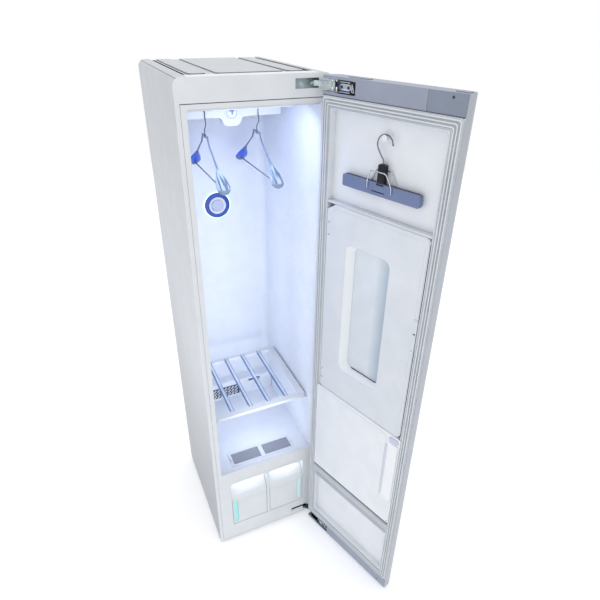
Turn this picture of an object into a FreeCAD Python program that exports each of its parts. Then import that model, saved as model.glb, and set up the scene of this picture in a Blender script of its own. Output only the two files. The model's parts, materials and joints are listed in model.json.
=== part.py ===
import FreeCAD, Part
import math
import os

from FreeCAD import Placement, Rotation, Vector

# Clothes care steam cabinet, in millimetres.
# +X is to the right seen from the front, +Y runs to the back, +Z is up.
# The origin is the middle of the cabinet's footprint, on the floor.

os.makedirs("parts", exist_ok=True)

# ---- case --------------------------------------------------------------------------------------
CABINET_WIDTH = 445.0
CABINET_DEPTH = 528.0
CABINET_HEIGHT = 1850.0
FLOOR_GAP = 8.0
SHEET = 1.2
WALL = 2.5
PLAY = 0.3
CASE_CORNER_R = 22.0
GUTTER_HALF = CABINET_WIDTH / 2 - 37.5
GUTTER_WIDTH = 12.0
GUTTER_DROP = 20.0
VENT_PITCH = 16.0
BEZEL_WIDTH = 12.0
BEZEL_THICK = 4.0
HEADER_HEIGHT = 62.5
HEADER_DEPTH = 48.0
JOINT_GAP = 0.8

HALF_W = CABINET_WIDTH / 2
FRONT = -CABINET_DEPTH / 2
BACK = CABINET_DEPTH / 2
HEADER_BOTTOM = CABINET_HEIGHT - HEADER_HEIGHT
INNER_HALF = HALF_W - SHEET
TRAY_TOP = FLOOR_GAP + 8
STUD_R = 4.0

# ---- chamber -----------------------------------------------------------------------------------
CHAMBER_HALF = HALF_W - 28.5
CHAMBER_DEPTH = 497.0
CHAMBER_FLOOR = 395.0
CHAMBER_TOP = HEADER_BOTTOM - 21.5
CHAMBER_CORNER_R = 30.0
SILL_TOP = CHAMBER_FLOOR + 12.0
OPENING_TOP = HEADER_BOTTOM - 14.5
FRAME_DEPTH = 14.0

CHAMBER_BACK = FRONT + CHAMBER_DEPTH
AIR_LEFT = -160.0
AIR_RIGHT = 26.0
STEAM_X = 105.0
STEAM_Z = CHAMBER_FLOOR + 45.0

# ---- water tank bay ----------------------------------------------------------------------------
BAY_HALF = HALF_W - 60.5
BAY_BOTTOM = 88.0
BAY_TOP = 340.0
BAY_DEPTH = 190.0
BAY_DIVIDER = 12.0
TANK_GAP = 1.5
TANK_TOP = 303.0
GRIP_BOTTOM = 248.0
GRIP_DEPTH = 38.0
LEVEL_WINDOW_WIDTH = 16.0
LEVEL_WINDOW_LOW = 104.0
LEVEL_WINDOW_HIGH = 242.0

# ---- shelf and filter --------------------------------------------------------------------------
SHELF_HALF = CHAMBER_HALF - 6.0
SHELF_FRONT = FRONT + 45.0
SHELF_LENGTH = CHAMBER_DEPTH - 132.0
SHELF_BOTTOM = 648.0
SHELF_THICK = 12.0
SHELF_BAR_WIDTH = 16.0
SHELF_BAR_PITCH = 75.0
FILTER_HALF = CHAMBER_HALF - 56.0
FILTER_FRONT = FRONT + 36.0
FILTER_LENGTH = 78.0

# ---- hanger rack -------------------------------------------------------------------------------
RACK_Y = FRONT + CHAMBER_DEPTH / 2 + 8.5
RACK_HALF = CHAMBER_HALF - 28.0
RACK_BOTTOM = CHAMBER_TOP - 63.0
RACK_R = 15.0
RACK_TRAVEL = 15.0
HUB_R = 40.0
HUB_Z = RACK_BOTTOM + 13.0
HANGER_X = 87.0
HANGER_REACH = CHAMBER_DEPTH / 2 - 56.5
HANGER_NECK_Z = RACK_BOTTOM - 53.0
HANGER_BAR_Z = HANGER_NECK_Z - 125.0
HANGER_NECK_HALF = 29.0
HOOK_WIRE_R = 1.6
PULLEY_X = 85.0
PULLEY_R = 14.0
BELT_THICK = 2.0

RACK_TOP_CENTRE = RACK_BOTTOM + 19.0
HOOK_ARC_R = RACK_R + PLAY + HOOK_WIRE_R

# ---- aroma holder ------------------------------------------------------------------------------
AROMA_Z = 1332.0
AROMA_R = 50.0
AROMA_FACE_R = 33.0
AROMA_PROUD = 10.0

# ---- door --------------------------------------------------------------------------------------
DOOR_GAP = 6.0
DOOR_THICK = 50.0
DOOR_EDGE_R = 28.0
DOOR_SKIN = 1.5
DOOR_BOTTOM = 13.0
DOOR_TOP = CABINET_HEIGHT - 2.0
CAP_HEIGHT = 49.0
HINGE_U = 12.8
HINGE_M = 31.5
DOOR_OPEN = 107.7
RECESS_LEFT = 36.0
RECESS_BOTTOM = 380.0
RECESS_TOP = DOOR_TOP - CAP_HEIGHT - 33.0
RECESS_STEP = RECESS_TOP - 256.0
RECESS_SHALLOW = 20.0
RECESS_DEEP = 36.0
LOWER_RECESS_BOTTOM = 100.0
LOWER_RECESS_TOP = 320.0
LOWER_RECESS_DEPTH = 18.0
GASKET_PROUD = 4.5
GASKET_WIDTH = 20.0

DOOR_WIDTH = CABINET_WIDTH
RECESS_RIGHT = DOOR_WIDTH - RECESS_LEFT
INNER_TOP = DOOR_TOP - CAP_HEIGHT
INNER_BOTTOM = DOOR_BOTTOM + CAP_HEIGHT
HINGE_X = HALF_W - HINGE_U
HINGE_Y = FRONT - DOOR_GAP - HINGE_M

# ---- hinges ------------------------------------------------------------------------------------
PIN_R = 4.0
RUN_CLEARANCE = 0.05
EYE_R = 9.0
ARM_THICK = 14.0
HINGE_PLATE_LEFT = HALF_W - 112.5
HINGE_PLATE_WIDTH = 70.0
HINGE_PLATE_HEIGHT = 26.0
TOP_HINGE_Z = DOOR_TOP - 24.0
BOTTOM_HINGE_Z = 36.0
HINGE_RECESS = 32.0
HINGE_RECESS_LENGTH = 118.0
HINGE_FACE_LEFT = 58.0

# ---- trouser press -----------------------------------------------------------------------------
COVER_LEFT = RECESS_LEFT + 2.5
COVER_RIGHT = RECESS_RIGHT - 2.0
COVER_BOTTOM = 806.0
COVER_TOP = RECESS_STEP - 7.0
COVER_DEPTH = 20.0
COVER_AXIS_U = 42.0
COVER_AXIS_M = 4.0
WINDOW_LEFT = COVER_LEFT + 81.5
WINDOW_RIGHT = COVER_RIGHT - 117.0
WINDOW_BOTTOM = COVER_BOTTOM + 120.0
WINDOW_TOP = COVER_TOP - 108.0
WINDOW_SLOPE = 18.0
LATCH_BOTTOM = COVER_BOTTOM + 354.0
LATCH_HEIGHT = 98.0
LATCH_TOP = LATCH_BOTTOM + LATCH_HEIGHT
LATCH_WIDTH = 14.0
LATCH_LEFT = COVER_RIGHT - LATCH_WIDTH
BOARD_M = 28.0
COVER_PIN_R = 2.0
EAR_OUTER = 22.0
EAR_THICK = 4.0

# ---- trouser hanger ----------------------------------------------------------------------------
PEG_U = DOOR_WIDTH / 2 + 3.5
PEG_Z = RECESS_TOP - 46.5
PEG_R = 7.0
TROUSER_M = 7.0
TROUSER_BAR_LEFT = PEG_U - 134.0
TROUSER_BAR_RIGHT = PEG_U + 130.0
TROUSER_BAR_HIGH = PEG_Z - 117.5
TROUSER_BAR_LOW = TROUSER_BAR_HIGH - 34.0


# ---- tools for shapes --------------------------------------------------------------------------
def rounded_edges(corners, closed):
    """Lines and tangent arcs through (point, radius) corners."""
    stations = []
    count = len(corners)
    for index, (here, radius) in enumerate(corners):
        at_end = not closed and index in (0, count - 1)
        if at_end or radius == 0:
            stations.append([here])
            continue
        to_before = (corners[index - 1][0] - here).normalize()
        to_after = (corners[(index + 1) % count][0] - here).normalize()
        half = to_before.getAngle(to_after) / 2
        reach = radius / math.tan(half)
        middle = (to_before + to_after).normalize()
        crown = here + middle * (radius / math.sin(half) - radius)
        stations.append([here + to_before * reach, crown, here + to_after * reach])
    edges = []
    for index, station in enumerate(stations):
        if len(station) == 3:
            edges.append(Part.Arc(*station).toShape())
        if not closed and index == count - 1:
            break
        following = stations[(index + 1) % count][0]
        if station[-1].distanceToPoint(following) > 1e-5:
            edges.append(Part.makeLine(station[-1], following))
    return edges


def outline_face(points, place):
    """Face inside a closed outline of (a, b) or (a, b, radius) corners."""
    corners = []
    for point in points:
        radius = point[2] if len(point) > 2 else 0
        corners.append((place(point[0], point[1]), radius))
    return Part.Face(Part.Wire(rounded_edges(corners, True)))


def plan(points, low, high):
    """Outline in X and Y, raised along Z."""
    face = outline_face(points, lambda a, b: Vector(a, b, low))
    return face.extrude(Vector(0, 0, high - low))


def front_view(points, near, far):
    """Outline in X and Z, drawn out along Y."""
    face = outline_face(points, lambda a, b: Vector(a, near, b))
    return face.extrude(Vector(0, far - near, 0))


def side_view(points, left, right):
    """Outline in Y and Z, drawn out along X."""
    face = outline_face(points, lambda a, b: Vector(left, a, b))
    return face.extrude(Vector(right - left, 0, 0))


def rectangle(left, right, low, high, radius=0):
    """Corners of a rectangle with one corner radius."""
    return [(left, low, radius), (right, low, radius), (right, high, radius), (left, high, radius)]


def box(left, right, near, far, low, high):
    """Plain block between six limits."""
    return Part.makeBox(right - left, far - near, high - low, Vector(left, near, low))


def rod(start, finish, radius):
    """Round bar between two points."""
    run = finish - start
    return Part.makeCylinder(radius, run.Length, start, run)


def turned(points, base, heading):
    """Outline of (radius, height) corners turned about a heading through a base point."""
    face = outline_face(points, lambda a, b: Vector(a, 0, b))
    shape = face.revolve(Vector(0, 0, 0), Vector(0, 0, 1), 360)
    shape.Placement = Placement(base, Rotation(Vector(0, 0, 1), heading))
    return shape


def bead(base, heading, radius):
    """Short rounded bead on the end of a wire."""
    return turned([(0, 0), (radius, 0, 0.8), (radius, 4, 0.8), (0, 4)], base, heading)


def ring(left, right, low, high, radius, width, near, far):
    """Flat frame in X and Z of one width."""
    outer = front_view(rectangle(left, right, low, high, radius), near, far)
    inner_radius = max(radius - width, 1.0)
    inner = rectangle(left + width, right - width, low + width, high - width, inner_radius)
    return outer.cut(front_view(inner, near - 1, far + 1))


def join(shapes):
    """One solid from touching shapes."""
    whole = shapes[0].fuse(shapes[1:])
    return whole.removeSplitter()


def mirrored(shape):
    """The same shape on the other side of the cabinet."""
    return shape.mirror(Vector(0, 0, 0), Vector(1, 0, 0))


def hang(shape):
    """Door piece to its place on the open door.

    Door pieces are drawn with X from the hinge edge to the free edge, Y from the inner face
    outwards and Z up, and then turned and swung about the hinge axis.
    """
    placed = shape.copy()
    placed.rotate(Vector(0, 0, 0), Vector(0, 0, 1), 180)
    placed.translate(Vector(HALF_W, FRONT - DOOR_GAP, 0))
    placed.rotate(Vector(HINGE_X, HINGE_Y, 0), Vector(0, 0, 1), DOOR_OPEN)
    return placed


def save(node, *shapes):
    """Write one named piece, or a group of equal pieces."""
    solids = []
    for shape in shapes:
        solids.extend(shape.Solids)
    whole = solids[0] if len(solids) == 1 else Part.makeCompound(solids)
    whole.exportStep("parts/" + node + ".step")


# ---- case --------------------------------------------------------------------------------------
def case_side():
    """Left side panel: one sheet with a rolled top edge, a gutter lip and a back flange."""
    inside = -INNER_HALF
    lip = -GUTTER_HALF
    profile = [
        (-HALF_W, FLOOR_GAP),
        (-HALF_W, CABINET_HEIGHT, CASE_CORNER_R),
        (lip, CABINET_HEIGHT),
        (lip, CABINET_HEIGHT - GUTTER_DROP),
        (lip - SHEET, CABINET_HEIGHT - GUTTER_DROP),
        (lip - SHEET, CABINET_HEIGHT - SHEET),
        (inside, CABINET_HEIGHT - SHEET, CASE_CORNER_R - SHEET),
        (inside, FLOOR_GAP),
    ]
    sheet = front_view(profile, FRONT + BEZEL_THICK, BACK)
    flange_top = CABINET_HEIGHT - CASE_CORNER_R - 4
    flange = box(inside, inside + 14, BACK - SHEET, BACK, FLOOR_GAP, flange_top)
    return join([sheet, flange])


def top_cover():
    """Formed top sheet with three raised plateaus between two gutters."""
    near = FRONT + HEADER_DEPTH
    base_top = CABINET_HEIGHT - 3.0
    plateau_top = CABINET_HEIGHT
    outer = GUTTER_HALF + SHEET
    inner = GUTTER_HALF - GUTTER_WIDTH
    gutter_floor = CABINET_HEIGHT - GUTTER_DROP
    profile = [
        (-outer, gutter_floor - SHEET),
        (-inner + SHEET, gutter_floor - SHEET),
        (-inner + SHEET, base_top - SHEET),
        (inner - SHEET, base_top - SHEET),
        (inner - SHEET, gutter_floor - SHEET),
        (outer, gutter_floor - SHEET),
        (outer, gutter_floor),
        (inner, gutter_floor),
        (inner, base_top),
        (-inner, base_top),
        (-inner, gutter_floor),
        (-outer, gutter_floor),
    ]
    sheet = front_view(profile, near, BACK - 2 * SHEET)
    plateaus = []
    plateau_near = near + 26
    spans = ((-inner + 9, -inner + 55), (-88.0, 105.0), (inner - 53, inner - 4))
    for left, right in spans:
        outline = [
            (left, plateau_near, 12),
            (right, plateau_near, 12),
            (right, BACK - 10, 4),
            (left, BACK - 10, 4),
        ]
        plateaus.append(plan(outline, base_top - SHEET, plateau_top))
    raised = join([sheet] + plateaus)
    for left, right in spans:
        hollow = rectangle(left + SHEET, right - SHEET, plateau_near + SHEET, BACK - 10 - SHEET, 3)
        raised = raised.cut(plan(hollow, base_top - 2 * SHEET, plateau_top - SHEET))
    vents = []
    start = near + 40
    count = int((BACK - 40 - start) / VENT_PITCH)
    for row in range(count):
        low = start + row * VENT_PITCH
        for middle in (-GUTTER_HALF + GUTTER_WIDTH / 2, GUTTER_HALF - GUTTER_WIDTH / 2):
            vents.append(box(middle - 4, middle + 4, low, low + VENT_PITCH - 4,
                             gutter_floor - 2 * SHEET, gutter_floor + SHEET))
    return raised.cut(Part.makeCompound(vents))


def back_panel():
    """Back sheet with louvres over the machine space and a hole for the cord inlet."""
    near = BACK - 2 * SHEET
    sheet = box(-INNER_HALF, INNER_HALF, near, near + SHEET, FLOOR_GAP + 8, CABINET_HEIGHT - 30)
    slots = []
    for row in range(8):
        low = 70.0 + 16.0 * row
        for left in (-150.0, 30.0):
            slot = rectangle(left, left + 110, low, low + 5, 2.4)
            slots.append(front_view(slot, near - 1, near + SHEET + 1))
    slots.append(rod(Vector(170, near - 1, 60), Vector(170, near + SHEET + 1, 60), 11.0))
    return sheet.cut(Part.makeCompound(slots))


def base_tray():
    """Pressed tray: floor, upstand all round and the rim that stands on the ground."""
    floor_low = FLOOR_GAP + 6
    near = FRONT + BEZEL_THICK + 1
    far = BACK - 2 * SHEET
    body = box(-INNER_HALF, INNER_HALF, near, far, floor_low, floor_low + 20)
    hollow = box(-INNER_HALF + 2, INNER_HALF - 2, near + 2, far - 2, TRAY_TOP, floor_low + 21)
    half = HALF_W - 16
    depth = CABINET_DEPTH / 2 - 16
    rim = plan(rectangle(-half, half, -depth, depth, 12), 0, floor_low)
    rim_hollow = rectangle(-half + WALL, half - WALL, -depth + WALL, depth - WALL, 12 - WALL)
    rim = rim.cut(plan(rim_hollow, -1, floor_low + 1))
    tray = join([body.cut(hollow), rim])
    holes = [rod(Vector(x, y, floor_low - 1), Vector(x, y, TRAY_TOP + 1), STUD_R) for x, y in foot_places()]
    return tray.cut(Part.makeCompound(holes))


def foot_places():
    """Places of the four levelling feet."""
    x = HALF_W - 42
    y = CABINET_DEPTH / 2 - 42
    return [(-x, -y), (x, -y), (-x, y), (x, y)]


def levelling_foot(x, y):
    """Round pad with a threaded stud and a hexagon for the spanner."""
    pad = turned([(0, 0), (14, 0), (15, 2), (15, 5), (9, 7), (0, 7)], Vector(x, y, 0), Vector(0, 0, 1))
    stud = rod(Vector(x, y, 6), Vector(x, y, 44), STUD_R)
    corners = []
    for step in range(6):
        angle = math.radians(60 * step)
        corners.append((x + 7.5 * math.cos(angle), y + 7.5 * math.sin(angle)))
    return join([pad, stud, plan(corners, 6.5, FLOOR_GAP + 6)])


def front_bezel():
    """Header with the narrow strips that run down both front edges."""
    near = FRONT
    back_face = FRONT + BEZEL_THICK
    header = [
        (-HALF_W, HEADER_BOTTOM),
        (HALF_W, HEADER_BOTTOM),
        (HALF_W, CABINET_HEIGHT, CASE_CORNER_R),
        (-HALF_W, CABINET_HEIGHT, CASE_CORNER_R),
    ]
    pieces = [front_view(header, near, back_face)]
    inset = HALF_W - BEZEL_WIDTH
    for left, right in ((-HALF_W, -inset), (inset, HALF_W)):
        pieces.append(box(left, right, near, back_face, FLOOR_GAP, HEADER_BOTTOM))
    top_half = GUTTER_HALF - 0.2
    far = FRONT + HEADER_DEPTH
    pieces.append(box(-top_half, top_half, back_face, far, CABINET_HEIGHT - 3.5, CABINET_HEIGHT))
    lip_half = INNER_HALF - PLAY
    pieces.append(box(-lip_half, lip_half, back_face, near + 24, HEADER_BOTTOM, HEADER_BOTTOM + 3))
    pieces.append(box(-top_half, top_half, far - 3, far, CABINET_HEIGHT - 20, CABINET_HEIGHT - 3.5))
    return join(pieces).cut(hinge_pocket(TOP_HINGE_Z))


def hinge_pocket(z):
    """Shallow seat for a hinge plate in a front face."""
    right = HINGE_PLATE_LEFT + HINGE_PLATE_WIDTH + PLAY
    half = HINGE_PLATE_HEIGHT / 2 + PLAY
    return box(HINGE_PLATE_LEFT - PLAY, right, FRONT - 1, FRONT + 1.5, z - half, z + half)


def front_frame():
    """White frame at the sides and top of the chamber's opening, with a lip that meets the ceiling."""
    half = HALF_W - BEZEL_WIDTH - JOINT_GAP
    top = HEADER_BOTTOM - JOINT_GAP
    profile = [
        (-half, SILL_TOP),
        (-CHAMBER_HALF, SILL_TOP),
        (-CHAMBER_HALF, OPENING_TOP, 8),
        (CHAMBER_HALF, OPENING_TOP, 8),
        (CHAMBER_HALF, SILL_TOP),
        (half, SILL_TOP),
        (half, top),
        (-half, top),
    ]
    frame = front_view(profile, FRONT + 0.5, FRONT + FRAME_DEPTH)
    lip = box(-CHAMBER_HALF, CHAMBER_HALF, FRONT + FRAME_DEPTH - 3, FRONT + 16, CHAMBER_TOP, OPENING_TOP + 2)
    return join([frame, lip])


def lower_front_panel():
    """Panel round the tank bay, with the chamber's sill along its top."""
    half = HALF_W - BEZEL_WIDTH - JOINT_GAP
    near = FRONT + 0.5
    panel = front_view(rectangle(-half, half, FLOOR_GAP, SILL_TOP - 0.2), near, near + 4)
    sill = box(-CHAMBER_HALF, CHAMBER_HALF, near + 4, FRONT + 16, SILL_TOP - 4.2, SILL_TOP - 0.2)
    lip = box(-CHAMBER_HALF, CHAMBER_HALF, FRONT + 13, FRONT + 16, CHAMBER_FLOOR - WALL, SILL_TOP - 4.2)
    opening = rectangle(-BAY_HALF - PLAY, BAY_HALF + PLAY, BAY_BOTTOM - PLAY, BAY_TOP + PLAY, 8)
    whole = join([panel, sill, lip])
    whole = whole.cut(front_view(opening, near - 1, near + 5))
    return whole.cut(hinge_pocket(BOTTOM_HINGE_Z))


# ---- chamber lining ----------------------------------------------------------------------------
def chamber_side():
    """Left chamber wall with the moulded ledge that carries the shelf."""
    outside = -CHAMBER_HALF - WALL
    low = CHAMBER_FLOOR - WALL
    high = CHAMBER_TOP + WALL
    far = CHAMBER_BACK - CHAMBER_CORNER_R
    wall = box(outside, -CHAMBER_HALF, FRONT + FRAME_DEPTH, far, low, high)
    ledge_top = SHELF_BOTTOM - PLAY
    inner = -SHELF_HALF + 7
    profile = [
        (-CHAMBER_HALF, ledge_top - 18),
        (inner, ledge_top - 6),
        (inner, ledge_top),
        (-CHAMBER_HALF, ledge_top),
    ]
    ledge = front_view(profile, SHELF_FRONT - 3, SHELF_FRONT + SHELF_LENGTH + 4)
    return join([wall, ledge])


def chamber_back():
    """Back wall with rounded corners, the aroma kit's cup and openings for air and steam."""
    near = CHAMBER_BACK - CHAMBER_CORNER_R
    half = CHAMBER_HALF
    outside = half + WALL
    outer_r = CHAMBER_CORNER_R + WALL
    profile = [
        (-outside, near),
        (-outside, CHAMBER_BACK + WALL, outer_r),
        (outside, CHAMBER_BACK + WALL, outer_r),
        (outside, near),
        (half, near),
        (half, CHAMBER_BACK, CHAMBER_CORNER_R),
        (-half, CHAMBER_BACK, CHAMBER_CORNER_R),
        (-half, near),
    ]
    wall = plan(profile, CHAMBER_FLOOR - WALL, CHAMBER_TOP + WALL)
    far = CHAMBER_BACK + WALL + 1
    air = box(AIR_LEFT, AIR_RIGHT, CHAMBER_BACK - 1, far, CHAMBER_FLOOR + 9, CHAMBER_FLOOR + 70)
    steam = rod(Vector(STEAM_X, CHAMBER_BACK - 1, STEAM_Z), Vector(STEAM_X, far, STEAM_Z), 9.0)
    bore = AROMA_FACE_R + 0.6
    cup = turned([(0, -18), (bore + 2, -18), (bore + 2, -1), (AROMA_R, -1), (AROMA_R, 0), (0, 0)],
                 Vector(0, CHAMBER_BACK, AROMA_Z), Vector(0, -1, 0))
    hollow = rod(Vector(0, CHAMBER_BACK - 1, AROMA_Z), Vector(0, CHAMBER_BACK + 16, AROMA_Z), bore)
    return join([wall.cut(air).cut(steam), cup]).cut(hollow)


def chamber_ceiling():
    """Ceiling that also carries the rack's guide rails and the idler pulley's post."""
    top = CHAMBER_TOP + WALL
    ceiling = chamber_plate(CHAMBER_TOP, top)
    reach = STEM_HALF + RACK_TRAVEL + 3
    slot = plan(rectangle(-reach, reach, RACK_Y - 11, RACK_Y + 11, 5), CHAMBER_TOP - 1, top + 1)
    pieces = [ceiling.cut(slot)]
    inner = SLIDER_HALF_Y + PLAY
    rail_half = SLIDER_HALF_X + RACK_TRAVEL + 4
    section = [
        (inner, top), (inner, SLIDER_HIGH + PLAY), (inner - 4, SLIDER_HIGH + PLAY),
        (inner - 4, SLIDER_HIGH + 4), (inner + 4, SLIDER_HIGH + 4), (inner + 4, top),
    ]
    for side in (-1, 1):
        rail = [(RACK_Y + side * y, z) for y, z in section]
        pieces.append(side_view(rail, -rail_half, rail_half))
    pieces.append(turned(
        [(0, 0), (18, 0), (18, 3), (9, 6), (9, 34), (3, 34), (3, 47), (0, 47)],
        Vector(-PULLEY_X, RACK_Y, top), Vector(0, 0, 1)))
    return join(pieces)


def chamber_plate(low, high):
    """Plate that fills the chamber's plan between its walls."""
    outline = [
        (-CHAMBER_HALF, FRONT + 16),
        (CHAMBER_HALF, FRONT + 16),
        (CHAMBER_HALF, CHAMBER_BACK, CHAMBER_CORNER_R),
        (-CHAMBER_HALF, CHAMBER_BACK, CHAMBER_CORNER_R),
    ]
    return plan(outline, low, high)


def chamber_floor():
    """Floor with the opening for the lint filter and a low rim round it."""
    floor = chamber_plate(CHAMBER_FLOOR - WALL, CHAMBER_FLOOR)
    gap = 0.4
    left = -FILTER_HALF - gap
    near = FILTER_FRONT - gap
    far = FILTER_FRONT + FILTER_LENGTH + gap
    return floor.cut(plan(rectangle(left, -left, near, far, 6), CHAMBER_FLOOR - WALL - 1, CHAMBER_FLOOR + 1))


DUCT_NEAR = CHAMBER_BACK - 51.0
DUCT_TOP = CHAMBER_FLOOR + 87.0
GRILLE_LEFT = AIR_LEFT - 5.0
GRILLE_RIGHT = AIR_RIGHT + 4.0
GRILLE_LOW = CHAMBER_FLOOR + 10.0
GRILLE_HIGH = DUCT_TOP - 21.0
SLIT_LEFT = STEAM_X - 29.0
SLIT_RIGHT = STEAM_X + 29.0
SLIT_LOW = DUCT_TOP - 20.0
SLIT_HIGH = DUCT_TOP - 14.0


def rear_duct_cover():
    """Low housing along the chamber's back with the grille's opening and the steam slit."""
    far = CHAMBER_BACK
    outer = side_view(
        [(DUCT_NEAR, CHAMBER_FLOOR), (far, CHAMBER_FLOOR), (far, DUCT_TOP), (DUCT_NEAR, DUCT_TOP, 10)],
        -CHAMBER_HALF + 1.5, CHAMBER_HALF - 1.5)
    inner = side_view(
        [
            (DUCT_NEAR + WALL, CHAMBER_FLOOR - 1),
            (far + 1, CHAMBER_FLOOR - 1),
            (far + 1, DUCT_TOP - WALL),
            (DUCT_NEAR + WALL, DUCT_TOP - WALL, 7.5),
        ],
        -CHAMBER_HALF + 4, CHAMBER_HALF - 4)
    shell = outer.cut(inner)
    inset = CHAMBER_HALF - 1.2
    room = [
        (-inset, DUCT_NEAR - 5),
        (inset, DUCT_NEAR - 5),
        (inset, CHAMBER_BACK, CHAMBER_CORNER_R - 1),
        (-inset, CHAMBER_BACK, CHAMBER_CORNER_R - 1),
    ]
    shell = shell.common(plan(room, CHAMBER_FLOOR, DUCT_TOP + 1))
    grille = box(GRILLE_LEFT, GRILLE_RIGHT, DUCT_NEAR - 1, DUCT_NEAR + 5, GRILLE_LOW, GRILLE_HIGH)
    slit = box(SLIT_LEFT, SLIT_RIGHT, DUCT_NEAR - 1, DUCT_NEAR + 5, SLIT_LOW, SLIT_HIGH)
    return shell.cut(Part.makeCompound([grille, slit]))


def rear_grille():
    """Dark grille: five windows with tilted louvres behind them."""
    left = GRILLE_LEFT + PLAY
    right = GRILLE_RIGHT - PLAY
    low = GRILLE_LOW + PLAY
    high = GRILLE_HIGH - PLAY
    near = DUCT_NEAR + 0.5
    frame = box(left, right, near, near + 7, low, high)
    rib = 3.0
    windows = 5
    pitch = (right - left - rib) / windows
    for index in range(windows):
        start = left + rib + pitch * index
        frame = frame.cut(box(start, start + pitch - rib, near - 1, near + 8, low + 3, high - 3))
    louvres = []
    for index in range(5):
        z = low + 8 + index * 9.6
        louvre = [(near + 1, z - 3), (near + 6.5, z + 2), (near + 6.5, z + 3.4), (near + 1, z - 1.6)]
        louvres.append(side_view(louvre, left + 1, right - 1))
    return join([frame] + louvres)


# ---- aroma holder ------------------------------------------------------------------------------
def aroma_ring():
    """Blue grip ring."""
    profile = [
        (AROMA_FACE_R, 1.6),
        (AROMA_R, 1.6),
        (AROMA_R, AROMA_PROUD, 5),
        (AROMA_FACE_R + 2, AROMA_PROUD, 2),
        (AROMA_FACE_R, AROMA_PROUD - 3),
    ]
    return turned(profile, Vector(0, CHAMBER_BACK, AROMA_Z), Vector(0, -1, 0))


def aroma_cup():
    """Cup for the scent sheet, with a knob at its middle and air slots round it."""
    outer = AROMA_FACE_R
    knob = outer - 10
    profile = [
        (0, -14), (outer, -14), (outer, AROMA_PROUD - 3), (outer - 3, AROMA_PROUD - 3),
        (knob, AROMA_PROUD - 8), (knob, AROMA_PROUD - 6, 2), (6, AROMA_PROUD - 4.5), (0, AROMA_PROUD - 4.5),
    ]
    cup = turned(profile, Vector(0, CHAMBER_BACK, AROMA_Z), Vector(0, -1, 0))
    slots = []
    face = CHAMBER_BACK - AROMA_PROUD + 8
    for step in range(6):
        slot = rectangle(knob - 13, knob - 5, AROMA_Z - 1.5, AROMA_Z + 1.5, 1.4)
        shape = front_view(slot, face - 6, face)
        shape.rotate(Vector(0, 0, AROMA_Z), Vector(0, 1, 0), 60 * step)
        slots.append(shape)
    return cup.cut(Part.makeCompound(slots))


# ---- hanger rack -------------------------------------------------------------------------------
STEM_HALF = 20.0
SLIDER_HALF_X = 34.0
SLIDER_HALF_Y = 27.0
SLIDER_HIGH = CHAMBER_TOP + 13.0
BELT_LOW = CHAMBER_TOP + 40.0
BELT_HIGH = BELT_LOW + 6.0


def hanger_bar():
    """Bar with a rounded top and a round hub, on a stem with a slider that runs over the ceiling."""
    side = RACK_R
    section = [
        (RACK_Y - side, RACK_BOTTOM, 3),
        (RACK_Y + side, RACK_BOTTOM, 3),
        (RACK_Y + side, RACK_TOP_CENTRE + side, side - 0.01),
        (RACK_Y - side, RACK_TOP_CENTRE + side, side - 0.01),
    ]
    bar = side_view(section, -RACK_HALF, RACK_HALF)
    flare = HUB_R + 16
    hub = [
        (-flare, RACK_BOTTOM + 8),
        (-flare, RACK_BOTTOM),
        (-HUB_R + 6, RACK_BOTTOM, 12),
        (-HUB_R + 14, HUB_Z - HUB_R, 22),
        (HUB_R - 14, HUB_Z - HUB_R, 22),
        (HUB_R - 6, RACK_BOTTOM, 12),
        (flare, RACK_BOTTOM),
        (flare, RACK_BOTTOM + 8),
    ]
    hub_block = front_view(hub, RACK_Y - side, RACK_Y + side)
    stem = box(-STEM_HALF, STEM_HALF, RACK_Y - 8, RACK_Y + 8, RACK_BOTTOM + 20, SLIDER_HIGH)
    slider = box(-SLIDER_HALF_X, SLIDER_HALF_X, RACK_Y - SLIDER_HALF_Y, RACK_Y + SLIDER_HALF_Y,
                 CHAMBER_TOP + WALL + PLAY, SLIDER_HIGH)
    pieces = [bar, hub_block, stem, slider]
    for x in (-HANGER_X, HANGER_X):
        for offset in (-7.0, 7.0):
            start = Vector(x + offset - 1.5, RACK_Y, RACK_TOP_CENTRE)
            rim = rod(start, start + Vector(3, 0, 0), side + 3)
            below = box(x - 12, x + 12, RACK_Y - 30, RACK_Y + 30, RACK_BOTTOM - 30, RACK_TOP_CENTRE + 9)
            pieces.append(rim.cut(below))
    run = RACK_Y - PULLEY_R - PLAY
    grip = box(-12, 12, run - BELT_THICK - 5, run + 5, SLIDER_HIGH - 1, BELT_HIGH + 5)
    slot = box(-13, 13, run - BELT_THICK - PLAY, run + PLAY, BELT_LOW - PLAY, BELT_HIGH + PLAY)
    return join(pieces + [grip]).cut(slot)


def belt_outline(radius):
    """Long round outline of the belt about both pulleys."""
    reach = PULLEY_X + radius
    corner = radius - 0.001
    return rectangle(-reach, reach, RACK_Y - radius, RACK_Y + radius, corner)


def drive_belt():
    """Flat belt round both pulleys."""
    inner = PULLEY_R + PLAY
    loop = plan(belt_outline(inner + BELT_THICK), BELT_LOW, BELT_HIGH)
    return loop.cut(plan(belt_outline(inner), BELT_LOW - 1, BELT_HIGH + 1))


def belt_pulley(x):
    """Pulley with a bored hub."""
    base = Vector(x, RACK_Y, BELT_LOW - 3)
    wheel = turned(
        [(3.05, 0), (PULLEY_R - 4, 0), (PULLEY_R - 4, 2), (PULLEY_R, 2), (PULLEY_R, 10), (3.05, 10)],
        base, Vector(0, 0, 1))
    holes = []
    for step in range(4):
        angle = math.radians(45 + 90 * step)
        centre = Vector(x + 7.5 * math.cos(angle), RACK_Y + 7.5 * math.sin(angle), BELT_LOW - 4)
        holes.append(Part.makeCylinder(2.0, 14, centre))
    return wheel.cut(Part.makeCompound(holes))


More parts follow.
